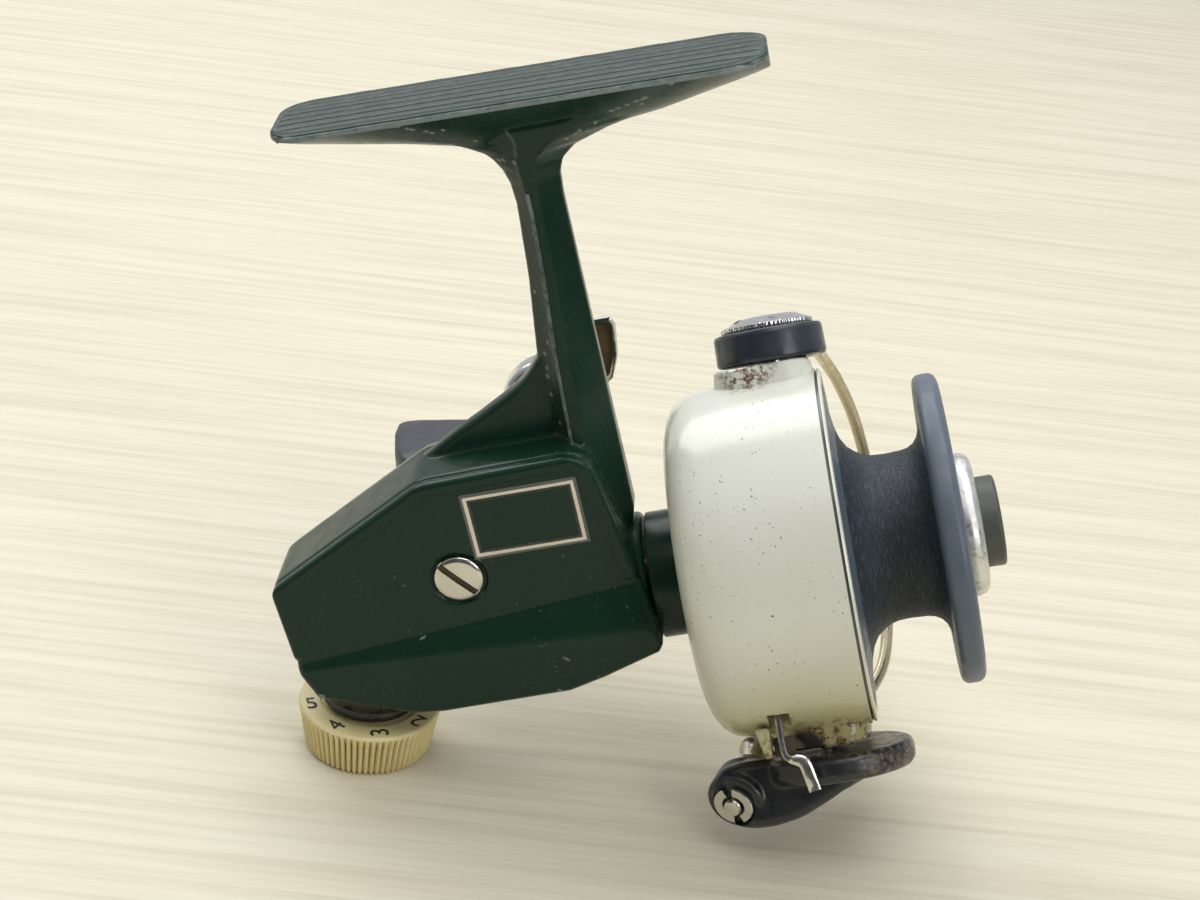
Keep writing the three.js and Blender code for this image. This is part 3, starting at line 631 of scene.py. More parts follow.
def front_boss():
    profile = [(0, -33), (9.4, -33), (9.2, -28.3), (8.6, -27.8), (0, -27.8)]
    return turned(rounded_profile(profile, 0.3), "X", 96)


def dial_boss():
    verts, faces = turned([(0, 4.6), (8.1, 4.6), (8.4, 5.6), (8.4, 9), (0, 9)], "Z", 64)
    to_reel = REEL.inverted() @ DIAL
    return [to_reel @ Vector(v) for v in verts], faces


FOOT_KEEL = [(-63, 71.9), (-52, 69.5), (-46, 68.3), (-40, 66.8), (-36, 65.4), (-31, 64.9), (-26, 65.3),
             (-13.3, 66.7),
             (0.8, 69.4)]
FOOT_HALF_WIDTH = 8.0
FOOT_ENDS = (-62.2, 0.9)
FRONT_REACH, REAR_REACH = 6.5, 4.5
RIB_PITCH = 1.9
RIB_DEPTH = 0.26
RIBBED_HALF_WIDTH = 7.1
FOOT_EDGE = 0.8
FOOT_CROWN = 0.55
EDGE_DROP, EDGE_SHARE = 0.45, 0.06


def quarter_round(t):
    """0 to 1 along a quarter of a circle, upright at its start."""
    return math.sqrt(max(0.0, 1 - (1 - min(1, t)) ** 2))


def foot_sections():
    """Station, half width, height of the flat top and distance from the nearer end, from end to end."""
    rear, front = FOOT_ENDS
    count = 110
    for i in range(count + 1):
        x = rear + (front - rear) * (0.5 - 0.5 * math.cos(math.pi * i / count))
        reach = FRONT_REACH if front - x < x - rear else REAR_REACH
        from_end = min(x - rear, front - x)
        half = FOOT_HALF_WIDTH * (0.42 + 0.58 * quarter_round(from_end / reach))
        top = SEAT_Z - (x - SEAT_X) * SEAT_RISE
        yield x, half, top, from_end


def foot_top():
    """The crowned, ribbed plate that meets the rod."""
    rings = []
    across_count = 97
    for x, half, top, from_end in foot_sections():
        lip = quarter_round(from_end / 1.2)
        middle = top - 0.6
        ring = []
        for j in range(across_count):
            y = -half + 2 * half * j / (across_count - 1)
            share = abs(y) / half
            groove = max(0.0, math.cos(2 * math.pi * (y / RIB_PITCH + 0.5))) ** 6
            fade = ease((RIBBED_HALF_WIDTH - abs(y)) / 0.5) * ease(from_end / 1.4)
            z = top - FOOT_CROWN * share ** 2.5 - RIB_DEPTH * groove * fade
            z -= EDGE_DROP * (1 - quarter_round((1 - share) / EDGE_SHARE))
            ring.append((y, z))
        ring += [(0.97 * half, top - FOOT_EDGE), (-0.97 * half, top - FOOT_EDGE)]
        rings.append([(x, y, middle + (z - middle) * (0.25 + 0.75 * lip)) for y, z in ring])
    return loft(rings)


def foot_underside():
    """The smooth paint below the plate, swept down to the keel."""
    rings = []
    for x, half, top, _ in foot_sections():
        edge = top - FOOT_EDGE + 0.15
        low = min(along(x, FOOT_KEEL), edge - 0.3)
        ring = []
        for j in range(25):
            share = 1 - 2 * j / 24
            ring.append((x, 0.95 * half * share, low + (edge - low) * abs(share) ** 1.5))
        rings.append(ring + [(x, -0.9 * half, edge + 0.4), (x, 0.9 * half, edge + 0.4)])
    return loft(rings)


def body_casting():
    solids = [housing_shell(), gear_bulge(), stem(), gusset(), front_boss(), dial_boss(), foot_underside()]
    rotor_bore = bar((-40, 0, 0), (-20, 0, 0), 3.5)
    crank_bore = bar((CRANK.x, 5, CRANK.z), (CRANK.x, 20, CRANK.z), 3)
    return carved(fused(solids, 0.3, 3), rotor_bore, crank_bore)


piece("body_casting", body_casting(), REEL, GREEN, "frame", ["body_casting"], angle=50)
piece("rod_foot", foot_top(), REEL, RIBBED, "frame", angle=50)


def stem_crease():
    """The bead on the near side of the stem, in the foot's paler paint: a painted highlight along the crease.
    """
    points = []
    for z in range(18, 61, 3):
        front, rear = along(z, STEM_FRONT), along(z, STEM_REAR)
        points.append((rear + 0.33 * (front - rear), -along(z, STEM_HALF) - 0.02, z))
    return tube(points, 0.26, 12)


piece("stem_crease", stem_crease(), REEL, RIBBED, "frame")

# ---- side cover: a rimmed panel above, a belly that swells towards the front below ----
COVER_FACE = -9.5
UPPER_CREASE = [(-78.2, 0.1), (-28.2, 4.7)]
LOWER_CREASE = [(-77.9, -1.1), (-57.8, -1.5), (-27.6, -2.4)]
SCREW = (-52.7, 9.6)
SCREW_SEAT_RADIUS = 4.1


def cover_height(x, z, edge):
    """How far the cover's face stands out from its flat panel, towards -Y."""
    swell = 0.6 + 2.6 * (x + 78) / 50
    upper, lower = along(x, UPPER_CREASE), along(x, LOWER_CREASE)
    belly = 1 - (1 - min(1, max(0, (upper - z) / (upper - lower)))) ** 1.5
    above = ease((z - upper - 0.3) / 1.2)
    rim = 0.45 * ease((2.0 - edge) / 0.5) * above
    round_off = 0.8 if above > 0.5 else 1.1
    fall = round_off * (1 - quarter_round(edge / round_off))
    draft = 0.05 * swell * max(0.0, lower - z)
    from_screw = math.hypot(x - SCREW[0], z - SCREW[1])
    seat = -0.5 * ease((SCREW_SEAT_RADIUS - from_screw) / 0.35)
    return rim + swell * belly - fall - draft * belly + seat


def side_cover():
    outline = rounded_outline(HOUSING, 1.4, 8)
    dense = []
    for i, (x, z) in enumerate(outline):
        nx, nz = outline[(i + 1) % len(outline)]
        steps = max(1, int(math.hypot(nx - x, nz - z) / 0.45))
        dense += [(x + (nx - x) * k / steps, z + (nz - z) * k / steps) for k in range(steps)]
    centre = Vector((-50, 6))
    edges = [(Vector(HOUSING[i - 1]), Vector(HOUSING[i])) for i in range(len(HOUSING))]

    def to_edge(x, z):
        return min(abs((b - a).cross(Vector((x, z)) - a)) / (b - a).length for a, b in edges)

    rings = [[(x, SEAM - 0.05, z) for x, z in dense]]
    shares = [1, 0.997, 0.992, 0.985, 0.975, 0.965] + [0.955 - 0.0165 * k for k in range(57)]
    for share in shares:
        ring = []
        for x, z in dense:
            p = centre + (Vector((x, z)) - centre) * share
            edge = 0 if share == 1 else to_edge(p.x, p.y)
            ring.append((p.x, COVER_FACE + 0.2 - cover_height(p.x, p.y, edge), p.y))
        rings.append(ring)
    return loft(rings)


piece("side_cover", side_cover(), REEL, GREEN, "frame", ["side_cover"], angle=60)


# ---- small fittings on the cover ----
def slotted_head(radius, height, slot_width, slot_depth, turn, shank_radius, shank_length):
    profile = [(0, -shank_length), (shank_radius, -shank_length), (shank_radius, 0), (radius, 0),
               (radius, height * 0.62), (radius * 0.82, height - 0.09), (0, height)]
    head = turned(rounded_profile(profile, 0.22), "Z", 96)
    reach, half = radius * 1.5, slot_width / 2
    verts, faces = block(-reach, reach, -half, half, height - slot_depth, height + 2)
    spin = Matrix.Rotation(math.radians(turn), 3, "Z")
    return carved(head, ([spin @ v for v in verts], faces))


TOWARDS_VIEWER = Matrix.Rotation(math.radians(90), 4, "X")
AWAY_FROM_VIEWER = Matrix.Rotation(math.radians(-90), 4, "X")


def at(x, y, z, turn=Matrix.Identity(4)):
    return REEL @ Matrix.Translation((x, y, z)) @ turn


SCREW_TURN = -50
on_seat = at(SCREW[0], COVER_FACE + 0.7, SCREW[1], TOWARDS_VIEWER)
piece("cover_screw", slotted_head(3.4, 1.0, 0.95, 0.7, SCREW_TURN, 1.4, 6), on_seat, NICKEL, "frame",
      ["cover_screw"])
# Dark filler at the bottom of the screw's slot: partly dirt, partly painted shade.
outside_head = turned([(3.25, -1), (6, -1), (6, 2), (3.25, 2)], "Z", 64)
slot_dirt_and_shade = carved(block(-3.3, 3.3, -0.46, 0.46, 0.25, 0.42), outside_head)
piece("cover_screw_slot", slot_dirt_and_shade, on_seat @ Matrix.Rotation(math.radians(SCREW_TURN), 4, "Z"), SHADE_AND_GRIME,
      "frame")
BADGE_CENTRE, BADGE_SIZE, BADGE_LINE = (-41.8, 17.1), (15.3, 9.3), 0.55


def frame_bar(width, height, line, y0, y1):
    """A rectangular frame around the badge's middle."""
    rings = []
    for w, h, y in ((width, height, y1), (width, height, y0), (width - 2 * line, height - 2 * line, y0),
                    (width - 2 * line, height - 2 * line, y1)):
        rings.append([(BADGE_CENTRE[0] + sx * w / 2, y, BADGE_CENTRE[1] + sz * h / 2)
                      for sx, sz in ((-1, -1), (1, -1), (1, 1), (-1, 1))])
    return loft(rings, closed=True)


panel_y = COVER_FACE + 0.2
piece("badge_groove", frame_bar(BADGE_SIZE[0] + 0.7, BADGE_SIZE[1] + 0.7, 1.3, panel_y - 0.04, panel_y + 0.3),
      REEL, BLACK, "frame")
piece("badge_frame", frame_bar(*BADGE_SIZE, BADGE_LINE, panel_y - 0.16, panel_y + 0.2),
      REEL, NICKEL, "frame", ["badge_frame"], bevel=0.08)
COLLAR = [(5.9, -27.4), (8.9, -27.4), (8.9, -23.6), (8.6, -23.1), (5.9, -23.1)]
piece("front_collar", turned(rounded_profile(COLLAR, 0.25), "X", 96), REEL, GREEN, "frame",
      ["front_collar"])

# ---- rotor ----
ROTOR_RADIUS, ROTOR_INNER = 24.9, 23.4
ROTOR_OUTSIDE = [
    (3.4, -22.7), (17.5, -22.7), (19.6, -22.5), (21.4, -21.9), (22.9, -20.9), (23.9, -19.5), (24.4, -17.6),
    (24.6, -14), (24.8, -8), (ROTOR_RADIUS, -0.85), (24.8, -0.76), (24.5, -0.7), (24.5, -0.48),
    (24.75, -0.42),
    (24.65, -0.15), (24.3, 0), (ROTOR_INNER + 0.15, 0), (ROTOR_INNER, -0.2), (23.1, -17.5),
    (21.4, -19.8), (17.8, -21), (7, -21), (6, -20.6), (3.4, -20.6),
]
BAIL_X = -6.3


def rotor_boss(side):
    """The raised pad that carries the bail's pivot, on one side or the other."""
    outline = [(-14.6, 4.8), (-11.6, 7.4), (-3.6, 7.4), (-1.1, 5.2), (-1.1, -5.2), (-3.6, -7.4),
               (-11.6, -7.4),
               (-14.6, -4.8)]
    stations = [(-0.25, 22.5, 1.4), (-0.1, 24.6, 1.4), (0.1, 26.1, 1.4), (0.35, 26.4, 1.4)]
    return slab(outline, stations, lambda u, v, height: (u, v * side, height * side))


def rotor_cup():
    cup = turned(ROTOR_OUTSIDE, "X", 192)
    inside = turned([(0, -17), (23.1, -17), (23.5, 2), (0, 2)], "X", 96)
    bosses = carved(joined(rotor_boss(1), rotor_boss(-1)), inside)
    ear = slab([(-15.5, -26.1), (-16.4, -22), (-14.5, -22), (-14.6, -26.1)],
               [(0.3, -12.7, 0.5), (0, -12.4, 0.5), (0, -11.2, 0.5), (0.3, -10.9, 0.5)], upright)
    slot_cut = block(-14.35, -11.4, -14.2, -10.2, -28, -18)
    return joined(carved(cup, slot_cut), carved(bosses, slot_cut), carved(ear, inside))


piece("rotor_cup", rotor_cup(), ROTOR, IVORY, "rotor", ["rotor_cup"], angle=32)
# A dark block inside the rotor's slot: painted shade for the slot's dark inside.
piece("slot_shadow_block", block(-14.3, -11.45, -11.05, -10.3, -26.2, -23.7), ROTOR, SHADE_AND_GRIME, "rotor",
      bevel=0.1)

# ---- bail: ring, cap, wire, arm, roller and clip ----
RING_PROFILE = [(2.4, 26.7), (7.0, 26.7), (7.55, 26.85), (7.7, 27.3), (7.6, 30.7), (7.4, 31.15), (6.8, 31.3),
                (2.4, 31.3)]


def on_pivot(shape):
    """Moves a turned shape onto the bail's pivot."""
    verts, faces = shape
    return [Vector(v) + Vector((BAIL_X, 0, 0)) for v in verts], faces


piece("bail_ring", on_pivot(turned(rounded_profile(RING_PROFILE, 0.15), "Z", 128)),
      ROTOR, RING_BLACK, "bail", ["bail_ring"])


def ring_cap():
    """The chromed screw: a shallow faceted crown with a worn slot and a knurled rim."""
    profile = [(0, 24), (2, 24), (2, 31.35), (6.3, 31.35), (6.4, 31.5), (6.4, 31.95), (6.1, 32.1),
               (4.4, 32.95),
               (4.0, 33.05), (0, 33.3)]

    def knurl(angle, radius, height):
        return radius - (0.09 if radius > 6.2 and math.cos(72 * angle) > 0 else 0)

    crown = turned(profile, "Z", 288, knurl)
    verts, faces = block(-7, 7, -0.5, 0.5, 32.6, 36)
    spin = Matrix.Rotation(math.radians(35), 3, "Z")
    return on_pivot(carved(crown, ([spin @ v for v in verts], faces)))


piece("ring_screw", ring_cap(), ROTOR, RUSTY_CHROME, "rotor", ["ring_screw"])
WIRE_ROUTE = [
    (-2.4, 1.6, 27.7), (-1.2, 5.2, 27.8), (-0.4, 9, 27.8), (0.4, 16.2, 26.3), (1.8, 21.5, 23.0),
    (3.1, 26.4, 18.0),
    (3.8, 29.8, 12.2), (4.2, 32, 4), (4.2, 31.9, -5), (3.2, 29.2, -14), (1, 24.2, -21),
    (-4, 19.5, -25.6), (-10, 15.4, -27.8), (-14.2, 11.6, -28.4),
]


def bail_wire():
    route = smooth_path(WIRE_ROUTE + [tuple(roller(14))], 10)
    eye = tube([roller(12.9), roller(13.1), roller(14.6), roller(15.1)], [1.9, 2.2, 2.0, 1.2], 32)
    taper = [1.35 - 0.45 * ease(i / 32) for i in range(len(route))]
    return joined(tube(route, taper, 24), eye)


piece("bail_wire", bail_wire(), ROTOR, WIRE, "bail", ["bail_wire"])
ARM_SIDE = [
    (-24.5, -31), (-24, -29.2), (-22.4, -27.8), (-19.5, -27.3), (-3, -27.6), (2, -28.2), (2.4, -30.2),
    (-1.5, -31.3),
    (-7.6, -34), (-12.5, -36.2), (-16.8, -36.9), (-20.6, -36.6), (-23.7, -34.6),
]


def bail_arm():
    profile = [(0, -31.2), (9.8, -31.2), (10.6, -30.2), (10.6, -28.2), (10.1, -27.5), (0, -27.5)]
    disc = on_pivot(turned(rounded_profile(profile, 0.4), "Z", 96))
    stations = [(1.2, -4.7, 1.5), (0.5, -4.4, 1.5), (0, -3.4, 1.5), (0, 1.0, 1.5), (0.5, 1.9, 1.5)]
    side = slab(ARM_SIDE, stations, upright)
    eye = tube([roller(0), roller(0.5), roller(5), roller(5.4)], [3.9, 4.3, 4.2, 3.9], 48)
    body = fused([disc, side, eye], 0.22, 14)
    return carved(body, bar(roller(-7), roller(-0.02), 3.15), bar(roller(5.5), roller(17), 5.2),
                  bar((BAIL_X, 0, -40), (BAIL_X, 0, -31), 3.8), bar((BAIL_X, 0, -40), (BAIL_X, 0, -20), 2.3))


piece("bail_arm", bail_arm(), ROTOR, ARM_BLACK, "bail", ["bail_arm"], angle=50)
pin = tube([roller(d) for d in (-1.55, -1.45, -1.2, 12.6)], [0.8, 1.1, 1.22, 1.22], 32)
piece("roller_pin", pin, ROTOR, NICKEL, "bail", ["roller_pin"])


def clip_frame():
    """Axes across the roller's axis: u towards the rotor, v along the arm."""
    u = Vector((0, 0, 1)) - ROLLER_AXIS * ROLLER_AXIS.z
    u.normalize()
    return u, ROLLER_AXIS.cross(u)


CLIP_GAP = 15
CLIP_SECTION = [(1.6, -0.2), (1.6, -0.72), (1.68, -0.8), (2.75, -0.8), (2.85, -0.7), (2.85, -0.2)]


def roller_clip():
    """A retaining clip that shows as two half moons around the pin."""
    u, v = clip_frame()
    halves = []
    for first in (CLIP_GAP, 180 + CLIP_GAP):
        rings = []
        for i in range(33):
            angle = math.radians(first + (180 - 2 * CLIP_GAP) * i / 32)
            out = u * math.cos(angle) + v * math.sin(angle)
            rings.append([roller(depth) + out * radius for radius, depth in CLIP_SECTION])
        halves.append(loft(rings))
    return joined(*halves)


piece("roller_clip", roller_clip(), ROTOR, NICKEL, "bail", ["roller_clip"])


def line_roller():
    stations = [(5.9, 3.4), (6.0, 3.55), (6.7, 3.55), (7.2, 2.9), (8.2, 2.55), (9.9, 2.55), (10.9, 2.9),
                (11.4, 3.5),
                (12.0, 3.5), (12.2, 3.3)]
    return tube([roller(d) for d, _ in stations], [r for _, r in stations], 64)


piece("line_roller", carved(line_roller(), bar(roller(5), roller(14), 1.2)), ROTOR, NICKEL, "line_roller",
      ["line_roller"])


STRIP_SECTION = [(1, 0.8), (0.6, 1), (-0.6, 1), (-1, 0.8), (-1, -0.8), (-0.6, -1), (0.6, -1), (1, -0.8)]


def trip_lever():
    """A bent strip that leaves the rotor's slot, turns forward and hangs beside the arm."""
    bends = [(-13, -19.8), (-13, -25), (-12.4, -26.4), (-11.2, -26.8), (-10.4, -27.6), (-9.7, -31.2)]
    path = smooth_path([(x, -12.1, z) for x, z in bends], 5)
    rings = []
    for i, p in enumerate(path):
        ahead, behind = path[min(i + 1, len(path) - 1)], path[max(i - 1, 0)]
        tangent = (ahead - behind).normalized()
        normal = Vector((tangent.z, 0, -tangent.x)) * (0.4 + 0.4 * ease((i - 8) / 8))
        half = 0.9 if i < len(path) - 2 else 0.6
        rings.append([p + normal * n + Vector((0, w * half, 0)) for n, w in STRIP_SECTION])
    return loft(rings)


piece("trip_lever", trip_lever(), ROTOR, NICKEL, "trip_lever", ["trip_lever"])

# ---- spool ----
BORE = 1.7
SKIRT = [(BORE, -8), (5.5, -8), (5.5, -2.6), (22.3, -2.6), (22.7, -2.3), (22.7, -1.1), (22.4, -0.7),
         (21.7, -0.2),
         (19.5, 0.1), (16.5, 0.55), (16.2, 0.65), (BORE, 0.65)]
DRUM_PROFILE = [(BORE, 0.5), (16.55, 0.5), (14.6, 1.1), (13.3, 1.9), (12.4, 3), (11.9, 3.9), (11.6, 5),
                (11.5, 6.7),
                (11.6, 9), (11.8, 10), (12.3, 10.9), (13.1, 11.5), (14.3, 11.9), (15.2, 12.04), (BORE, 12.04)]
FLANGE = [(BORE, 11.95), (15, 12), (15.8, 12.05), (20.4, 12.05), (21.1, 12.25), (21.5, 12.8),
          (21.55, 13.7), (21.5, 14.6), (21.1, 15.2), (20.4, 15.5), (10.6, 15.5), (10.3, 15.2), (6.6, 15.2),
          (6.6, 13.6),
          (BORE, 13.6)]
piece("spool_skirt", turned(SKIRT, "X", 160), REEL, SLATE, "spool", ["spool"])
piece("spool_drum", turned(DRUM_PROFILE, "X", 160), REEL, DRUM, "spool")
piece("spool_flange", turned(rounded_profile(FLANGE, 0.3), "X", 160), REEL, SLATE, "spool")
DISC = [(6.6, 15.7), (9.9, 15.7), (9.95, 16.6), (9.7, 17.4), (9.1, 17.95), (8.3, 18.15), (6.9, 18.15),
        (6.6, 17.9)]
piece("spool_disc", turned(rounded_profile(DISC, 0.2), "X", 128), REEL, ALUMINIUM, "spool",
      ["spool_disc"])
BUTTON_PROFILE = [(0, 18.9), (2.6, 18.9), (2.6, 15.9), (6.1, 15.9), (6.25, 16.2), (6.3, 20.5), (6.0, 20.85),
                  (5.2, 20.95), (0, 20.75)]
piece("spool_button", turned(rounded_profile(BUTTON_PROFILE, 0.15), "X", 128), REEL, BUTTON, "spool_button",
      ["spool_button"])

# ---- drag dial ----
FLUTES = 68


def drag_dial():
    def flute(angle, radius, height):
        depth = 0.6 * ease((-0.6 - height) / 0.4) * (1 if radius > 8.4 else 0)
        return radius - depth * (0.5 - 0.5 * math.cos(FLUTES * angle)) ** 1.6

    profile = [(0, -7.3), (8.5, -7.3), (8.9, -7.2), (9.2, -6.8), (9.6, -4.6), (10.05, -1.9), (10.3, -0.85),
               (10.35, -0.45),
               (10.1, -0.05), (9.9, 0), (7.3, 0), (7.1, -0.25), (0, -0.25)]
    return turned(profile, "Z", FLUTES * 8, flute)


piece("drag_dial", drag_dial(), DIAL, DIAL_IVORY, "drag_dial", ["drag_dial"], angle=45)


def numeral(text, angle):
    """A figure on the dial's top, standing tangentially."""
    letters = bpy.data.curves.new("numeral", "FONT")
    letters.body = text
    letters.size = 3.8
    letters.align_x = "CENTER"
    letters.align_y = "CENTER"
    letters.extrude = 0.05
    holder = placed("numeral", letters)
    mesh = bpy.data.meshes.new_from_object(holder.evaluated_get(bpy.context.evaluated_depsgraph_get()))
    bpy.data.objects.remove(holder)
    place = (Matrix.Rotation(angle, 4, "Z") @ Matrix.Translation((8.7, 0, 0.02))
             @ Matrix.Rotation(math.radians(180), 4, "Z"))
    verts, faces = shape_of(mesh)
    return [place @ v for v in verts], faces


FIRST_NUMERAL, NUMERAL_STEP = 56, 43
marks = [numeral(str(i), math.radians(FIRST_NUMERAL - NUMERAL_STEP * i)) for i in range(8)]
piece("dial_numerals", joined(*marks), DIAL, INK, "drag_dial")
NECK = [(3.4, 0.2), (6.4, 0.2), (6.9, 0.5), (7, 1.2), (6.8, 1.8), (6.9, 2.4), (7.1, 4.6), (6.6, 5.1),
        (3.4, 5.1)]
piece("drag_neck", turned(rounded_profile(NECK, 0.25), "Z", 96), DIAL, GLOSS_BLACK, "frame",
      ["drag_neck"])

# ---- crank and knob ----
KNOB_PIVOT = reel_mm(JOINTS["knob_spin"]["pos_m"])
OUTWARDS = Vector((KNOB_PIVOT.x - CRANK.x, 0, KNOB_PIVOT.z - CRANK.z))
THROW = OUTWARDS.length
OUTWARDS.normalize()
SIDEWAYS = OUTWARDS.cross(Vector((0, 1, 0)))


def handle_point(reach, side, y):
    return Vector((CRANK.x, y, CRANK.z)) + OUTWARDS * reach + SIDEWAYS * side


TAIL = [(-4, -6.5), (-4, 3.4), (-10.6, 2.6), (-13.8, 0.4), (-17.1, -3.4), (-17.3, -4.8), (-13, -7.6)]
TAIL_MIDDLE = (-10.8, -2.6)


def tail_ring(scale, y):
    """The outline of the crank's tail, scaled about its middle, at one depth."""
    reach, side = TAIL_MIDDLE
    return [handle_point(reach + (r - reach) * scale, side + (s - side) * scale, y) for r, s in TAIL]


def crank_arm():
    """A cranked strap with a hub, and a hollow tail on the far side of the shaft."""
    def ribbon(stations):
        rings = []
        for reach, half, y0, y1 in stations:
            rings.append([handle_point(reach, s * half, y) for s,
                          y in ((-1, y0), (1, y0), (1, y1), (-1, y1))])
        return loft(rings)

    hub = bar(handle_point(0, 0, 29), handle_point(0, 0, 35.5), 6, 64)
    disc = tube([handle_point(0, 0, y) for y in (31.2, 31.8, 34.6, 35.4)], [7.2, 7.9, 7.9, 7.2], 64)
    strap = ribbon([(-6, 3.6, 31.6, 34.8), (0, 4.6, 30.6, 34.8), (10, 3.9, 31.5, 34.8), (12, 3.8, 32.6, 35.6),
                    (15, 3.7, 38, 40.8), (16.5, 3.7, 39.4, 42), (26, 3.5, 39.4, 42), (28.6, 2.6, 39.4, 42),
                    (29.6, 1.2, 39.4, 42)])
    tail = loft([tail_ring(1, 30.2), tail_ring(0.7, 34.8)])
    hollow = loft([tail_ring(0.86, 29.8), tail_ring(0.55, 33.2)])
    shaft_bore = bar(handle_point(0, 0, 25), handle_point(0, 0, 40), 2.8)
    spindle_bore = bar(handle_point(THROW, 0, 38), handle_point(THROW, 0, 44), 1.8)
    return carved(fused([hub, disc, strap, tail], 0.22, 3), hollow, shaft_bore, spindle_bore)


CHROME = metal("crank_chrome", (0.6, 0.6, 0.58), (0.74, 0.74, 0.72), 0.14, (0.16, 0.1, 0.05), 0.64)
RUST = moulding("old_rust", (0.05, 0.028, 0.012), (0.22, 0.14, 0.06), 0.75, 0.1)
piece("crank_arm", crank_arm(), REEL, CHROME, "crank", ["crank_arm"], angle=50)
piece("crank_tail_rust", loft([tail_ring(0.76, 31.1), tail_ring(0.66, 32)]), REEL, RUST, "crank")
SHAFT_STATIONS = [(-2.3, 2.5), (2.8, 2.5), (2.81, 4), (5.2, 4), (5.21, 2.5), (14.9, 2.5), (15, 4.2),
                  (15.3, 4.45),
                  (17.5, 4.4), (18, 3.9), (26.5, 3.6), (28.3, 3.8), (28.7, 3.6), (28.71, 2.5), (34.4, 2.5)]
shaft = tube([(CRANK.x, y, CRANK.z) for y, _ in SHAFT_STATIONS], [r for _, r in SHAFT_STATIONS], 64)
piece("crank_shaft", shaft, REEL, CHROME, "crank", ["crank_shaft"])
piece("crank_screw", slotted_head(4, 1.4, 0.9, 0.7, 20, 1.2, 0.8),
      at(CRANK.x, 35.8, CRANK.z, AWAY_FROM_VIEWER),
      NICKEL, "crank", ["crank_screw"])


SQUARENESS = 7


def knob():
    """A flat paddle, narrow at the spindle, with softened edges."""
    stations = [(42.6, 4.4, 2.3), (43.2, 5.3, 2.6), (46, 7.6, 2.9), (50, 8.9, 3.0), (56, 9.6, 2.8),
                (59.4, 9.5, 2.4),
                (60.8, 8.8, 1.9), (61.3, 7.8, 1.4)]
    lean = Matrix.Rotation(math.radians(10), 3, "Y")
    pivot = Vector((KNOB_PIVOT.x, 0, KNOB_PIVOT.z))
    rings = []
    for y, half_width, half_thick in stations:
        ring = []
        for k in range(48):
            angle = 2 * math.pi * k / 48
            c, s = math.cos(angle), math.sin(angle)
            scale = (abs(c) ** SQUARENESS + abs(s) ** SQUARENESS) ** (-1 / SQUARENESS)
            ring.append(pivot + lean @ Vector((half_width * c * scale, y, half_thick * s * scale)))
        rings.append(ring)
    return loft(rings)


knob_bore = bar((KNOB_PIVOT.x, 40, KNOB_PIVOT.z), (KNOB_PIVOT.x, 60, KNOB_PIVOT.z), 1.8)
piece("knob", carved(knob(), knob_bore), REEL, KNOB, "knob", ["knob"])


# ---- hidden and small CAD parts keep their shape and take a worked finish ----
def refinish(material, *names):
    for name in names:
        materials = frame["nodes"][name].data.materials
        materials.clear()
        materials.append(material)


refinish(STEEL, "front_bearing", "oscillation_pin", "anti_reverse_shaft", "ratchet_wheel", "bail_spring",
         "oscillation_yoke", "main_shaft", "button_spring", "drag_shoe", "drag_spring", "drag_spindle")
refinish(BRASS, "crank_bush", "drive_gear", "pinion", "rotor_nut", "drag_sleeve")
refinish(NICKEL, "knob_spindle", "arm_screw", "anti_reverse_lever")

# ---- floor, light and camera ----
FLOOR_NORMAL = DIAL_AXIS.normalized()
FLOOR_HALF_SIZE = 0.5
floor_point = DIAL @ Vector((0, 0, -7.35))


def floor_material():
    f = Finish("pale_floor", (0.6, 0.56, 0.43), 0.6)
    grain = f.band(f.noise(2.5, 6, 0.7, f.stretched((0.03, 1, 0.03))), 0.35, 0.75)
    f.color(f.mix(grain, (0.7, 0.655, 0.51), (0.58, 0.53, 0.39)))
    return f.material


def floor():
    """A table top square to the dial's axis, under the dial."""
    u = ACROSS.cross(FLOOR_NORMAL) * FLOOR_HALF_SIZE
    v = ACROSS * FLOOR_HALF_SIZE
    mesh = bpy.data.meshes.new("floor")
    corners = [floor_point + u * a + v * b for a, b in ((-1, -1), (1, -1), (1, 1), (-1, 1))]
    mesh.from_pydata([tuple(c) for c in corners], [], [(0, 1, 2, 3)])
    made = placed("floor", mesh)
    mesh.materials.append(floor_material())


floor()


def area_light(name, place, target, size, power):
    data = bpy.data.lights.new(name, "AREA")
    data.shape = "RECTANGLE"
    data.size, data.size_y = size
    data.energy = power
    made = placed(name, data)
    made.location = place
    made.rotation_euler = (Vector(target) - Vector(place)).to_track_quat("-Z", "Y").to_euler()


CENTRE = REEL @ Vector((-31, 0, 20.7))


def from_centre(right, back, up):
    """A place around the reel, in metres, with up square to the floor."""
    return CENTRE + ACROSS.cross(FLOOR_NORMAL) * right + ACROSS * back + FLOOR_NORMAL * up


area_light("window", from_centre(-0.3, 0.5, 0.6), CENTRE, (0.9, 0.5), 4.5)
area_light("overhead", from_centre(0.1, -0.1, 0.75), CENTRE, (0.8, 0.5), 3.5)
area_light("front_fill", from_centre(0.55, -0.6, 0.35), CENTRE, (0.35, 0.5), 2.1)


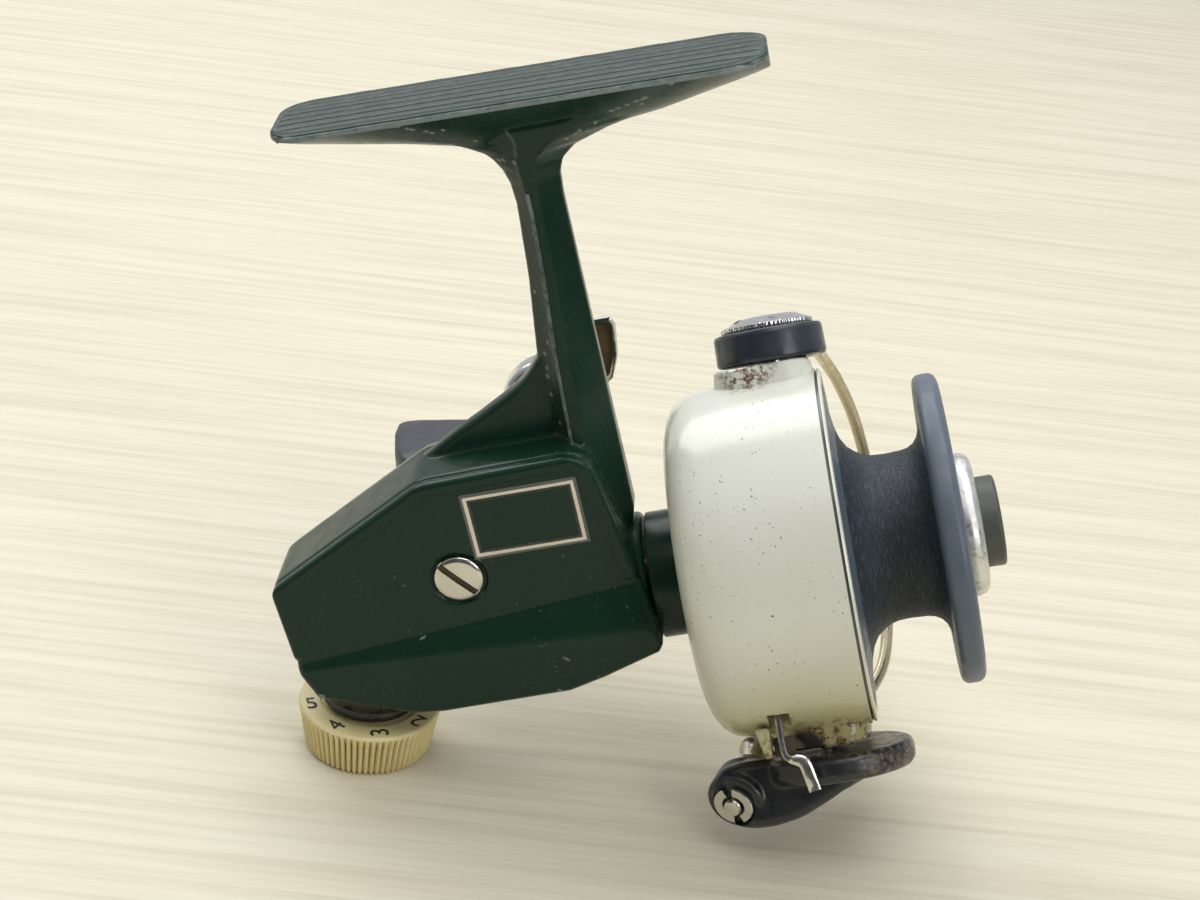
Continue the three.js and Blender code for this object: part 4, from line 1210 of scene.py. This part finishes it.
def studio_world():
    """A room that is brighter behind the reel and above it than in front of it."""
    world = bpy.data.worlds.new("studio")
    world.use_nodes = True
    nodes, links = world.node_tree.nodes, world.node_tree.links
    background = nodes["Background"]
    background.inputs["Strength"].default_value = 0.8
    sky = nodes.new("ShaderNodeTexCoord")
    facing = nodes.new("ShaderNodeVectorMath")
    facing.operation = "DOT_PRODUCT"
    facing.inputs[1].default_value = (0, 0.85, 0.53)
    fade = nodes.new("ShaderNodeMapRange")
    fade.interpolation_type = "SMOOTHSTEP"
    fade.inputs["From Min"].default_value = -0.5
    fade.inputs["From Max"].default_value = 0.5
    tint = nodes.new("ShaderNodeMix")
    tint.data_type = "RGBA"
    tint.inputs[6].default_value = (0.1, 0.1, 0.11, 1)
    tint.inputs[7].default_value = (0.72, 0.73, 0.78, 1)
    links.new(sky.outputs["Generated"], facing.inputs[0])
    links.new(facing.outputs["Value"], fade.inputs["Value"])
    links.new(fade.outputs["Result"], tint.inputs[0])
    links.new(tint.outputs[2], background.inputs["Color"])
    bpy.context.scene.world = world


studio_world()

CAMERA_AZIMUTH, CAMERA_ELEVATION, CAMERA_ROLL = 8.078, 26.155, 13.181
CAMERA_DISTANCE = 0.29312
CAMERA_TARGET = (-31.07, 0, 20.72)


def camera():
    az, el, roll = (math.radians(a) for a in (CAMERA_AZIMUTH, CAMERA_ELEVATION, CAMERA_ROLL))
    right = Vector((math.cos(az), math.sin(az), 0))
    ahead = Vector((-math.sin(az) * math.cos(el), math.cos(az) * math.cos(el), -math.sin(el)))
    up = right.cross(ahead)
    tilted_right = right * math.cos(roll) - up * math.sin(roll)
    tilted_up = right * math.sin(roll) + up * math.cos(roll)
    data = bpy.data.cameras.new("camera")
    data.lens = 64.43
    data.sensor_width = 36
    data.clip_start = 0.01
    made = placed("camera", data)
    turn = Matrix((tilted_right, tilted_up, -ahead)).transposed().to_4x4()
    made.matrix_world = Matrix.Translation(REEL @ Vector(CAMERA_TARGET) - ahead * CAMERA_DISTANCE) @ turn
    bpy.context.scene.camera = made


camera()
bpy.context.scene.view_settings.view_transform = "Standard"
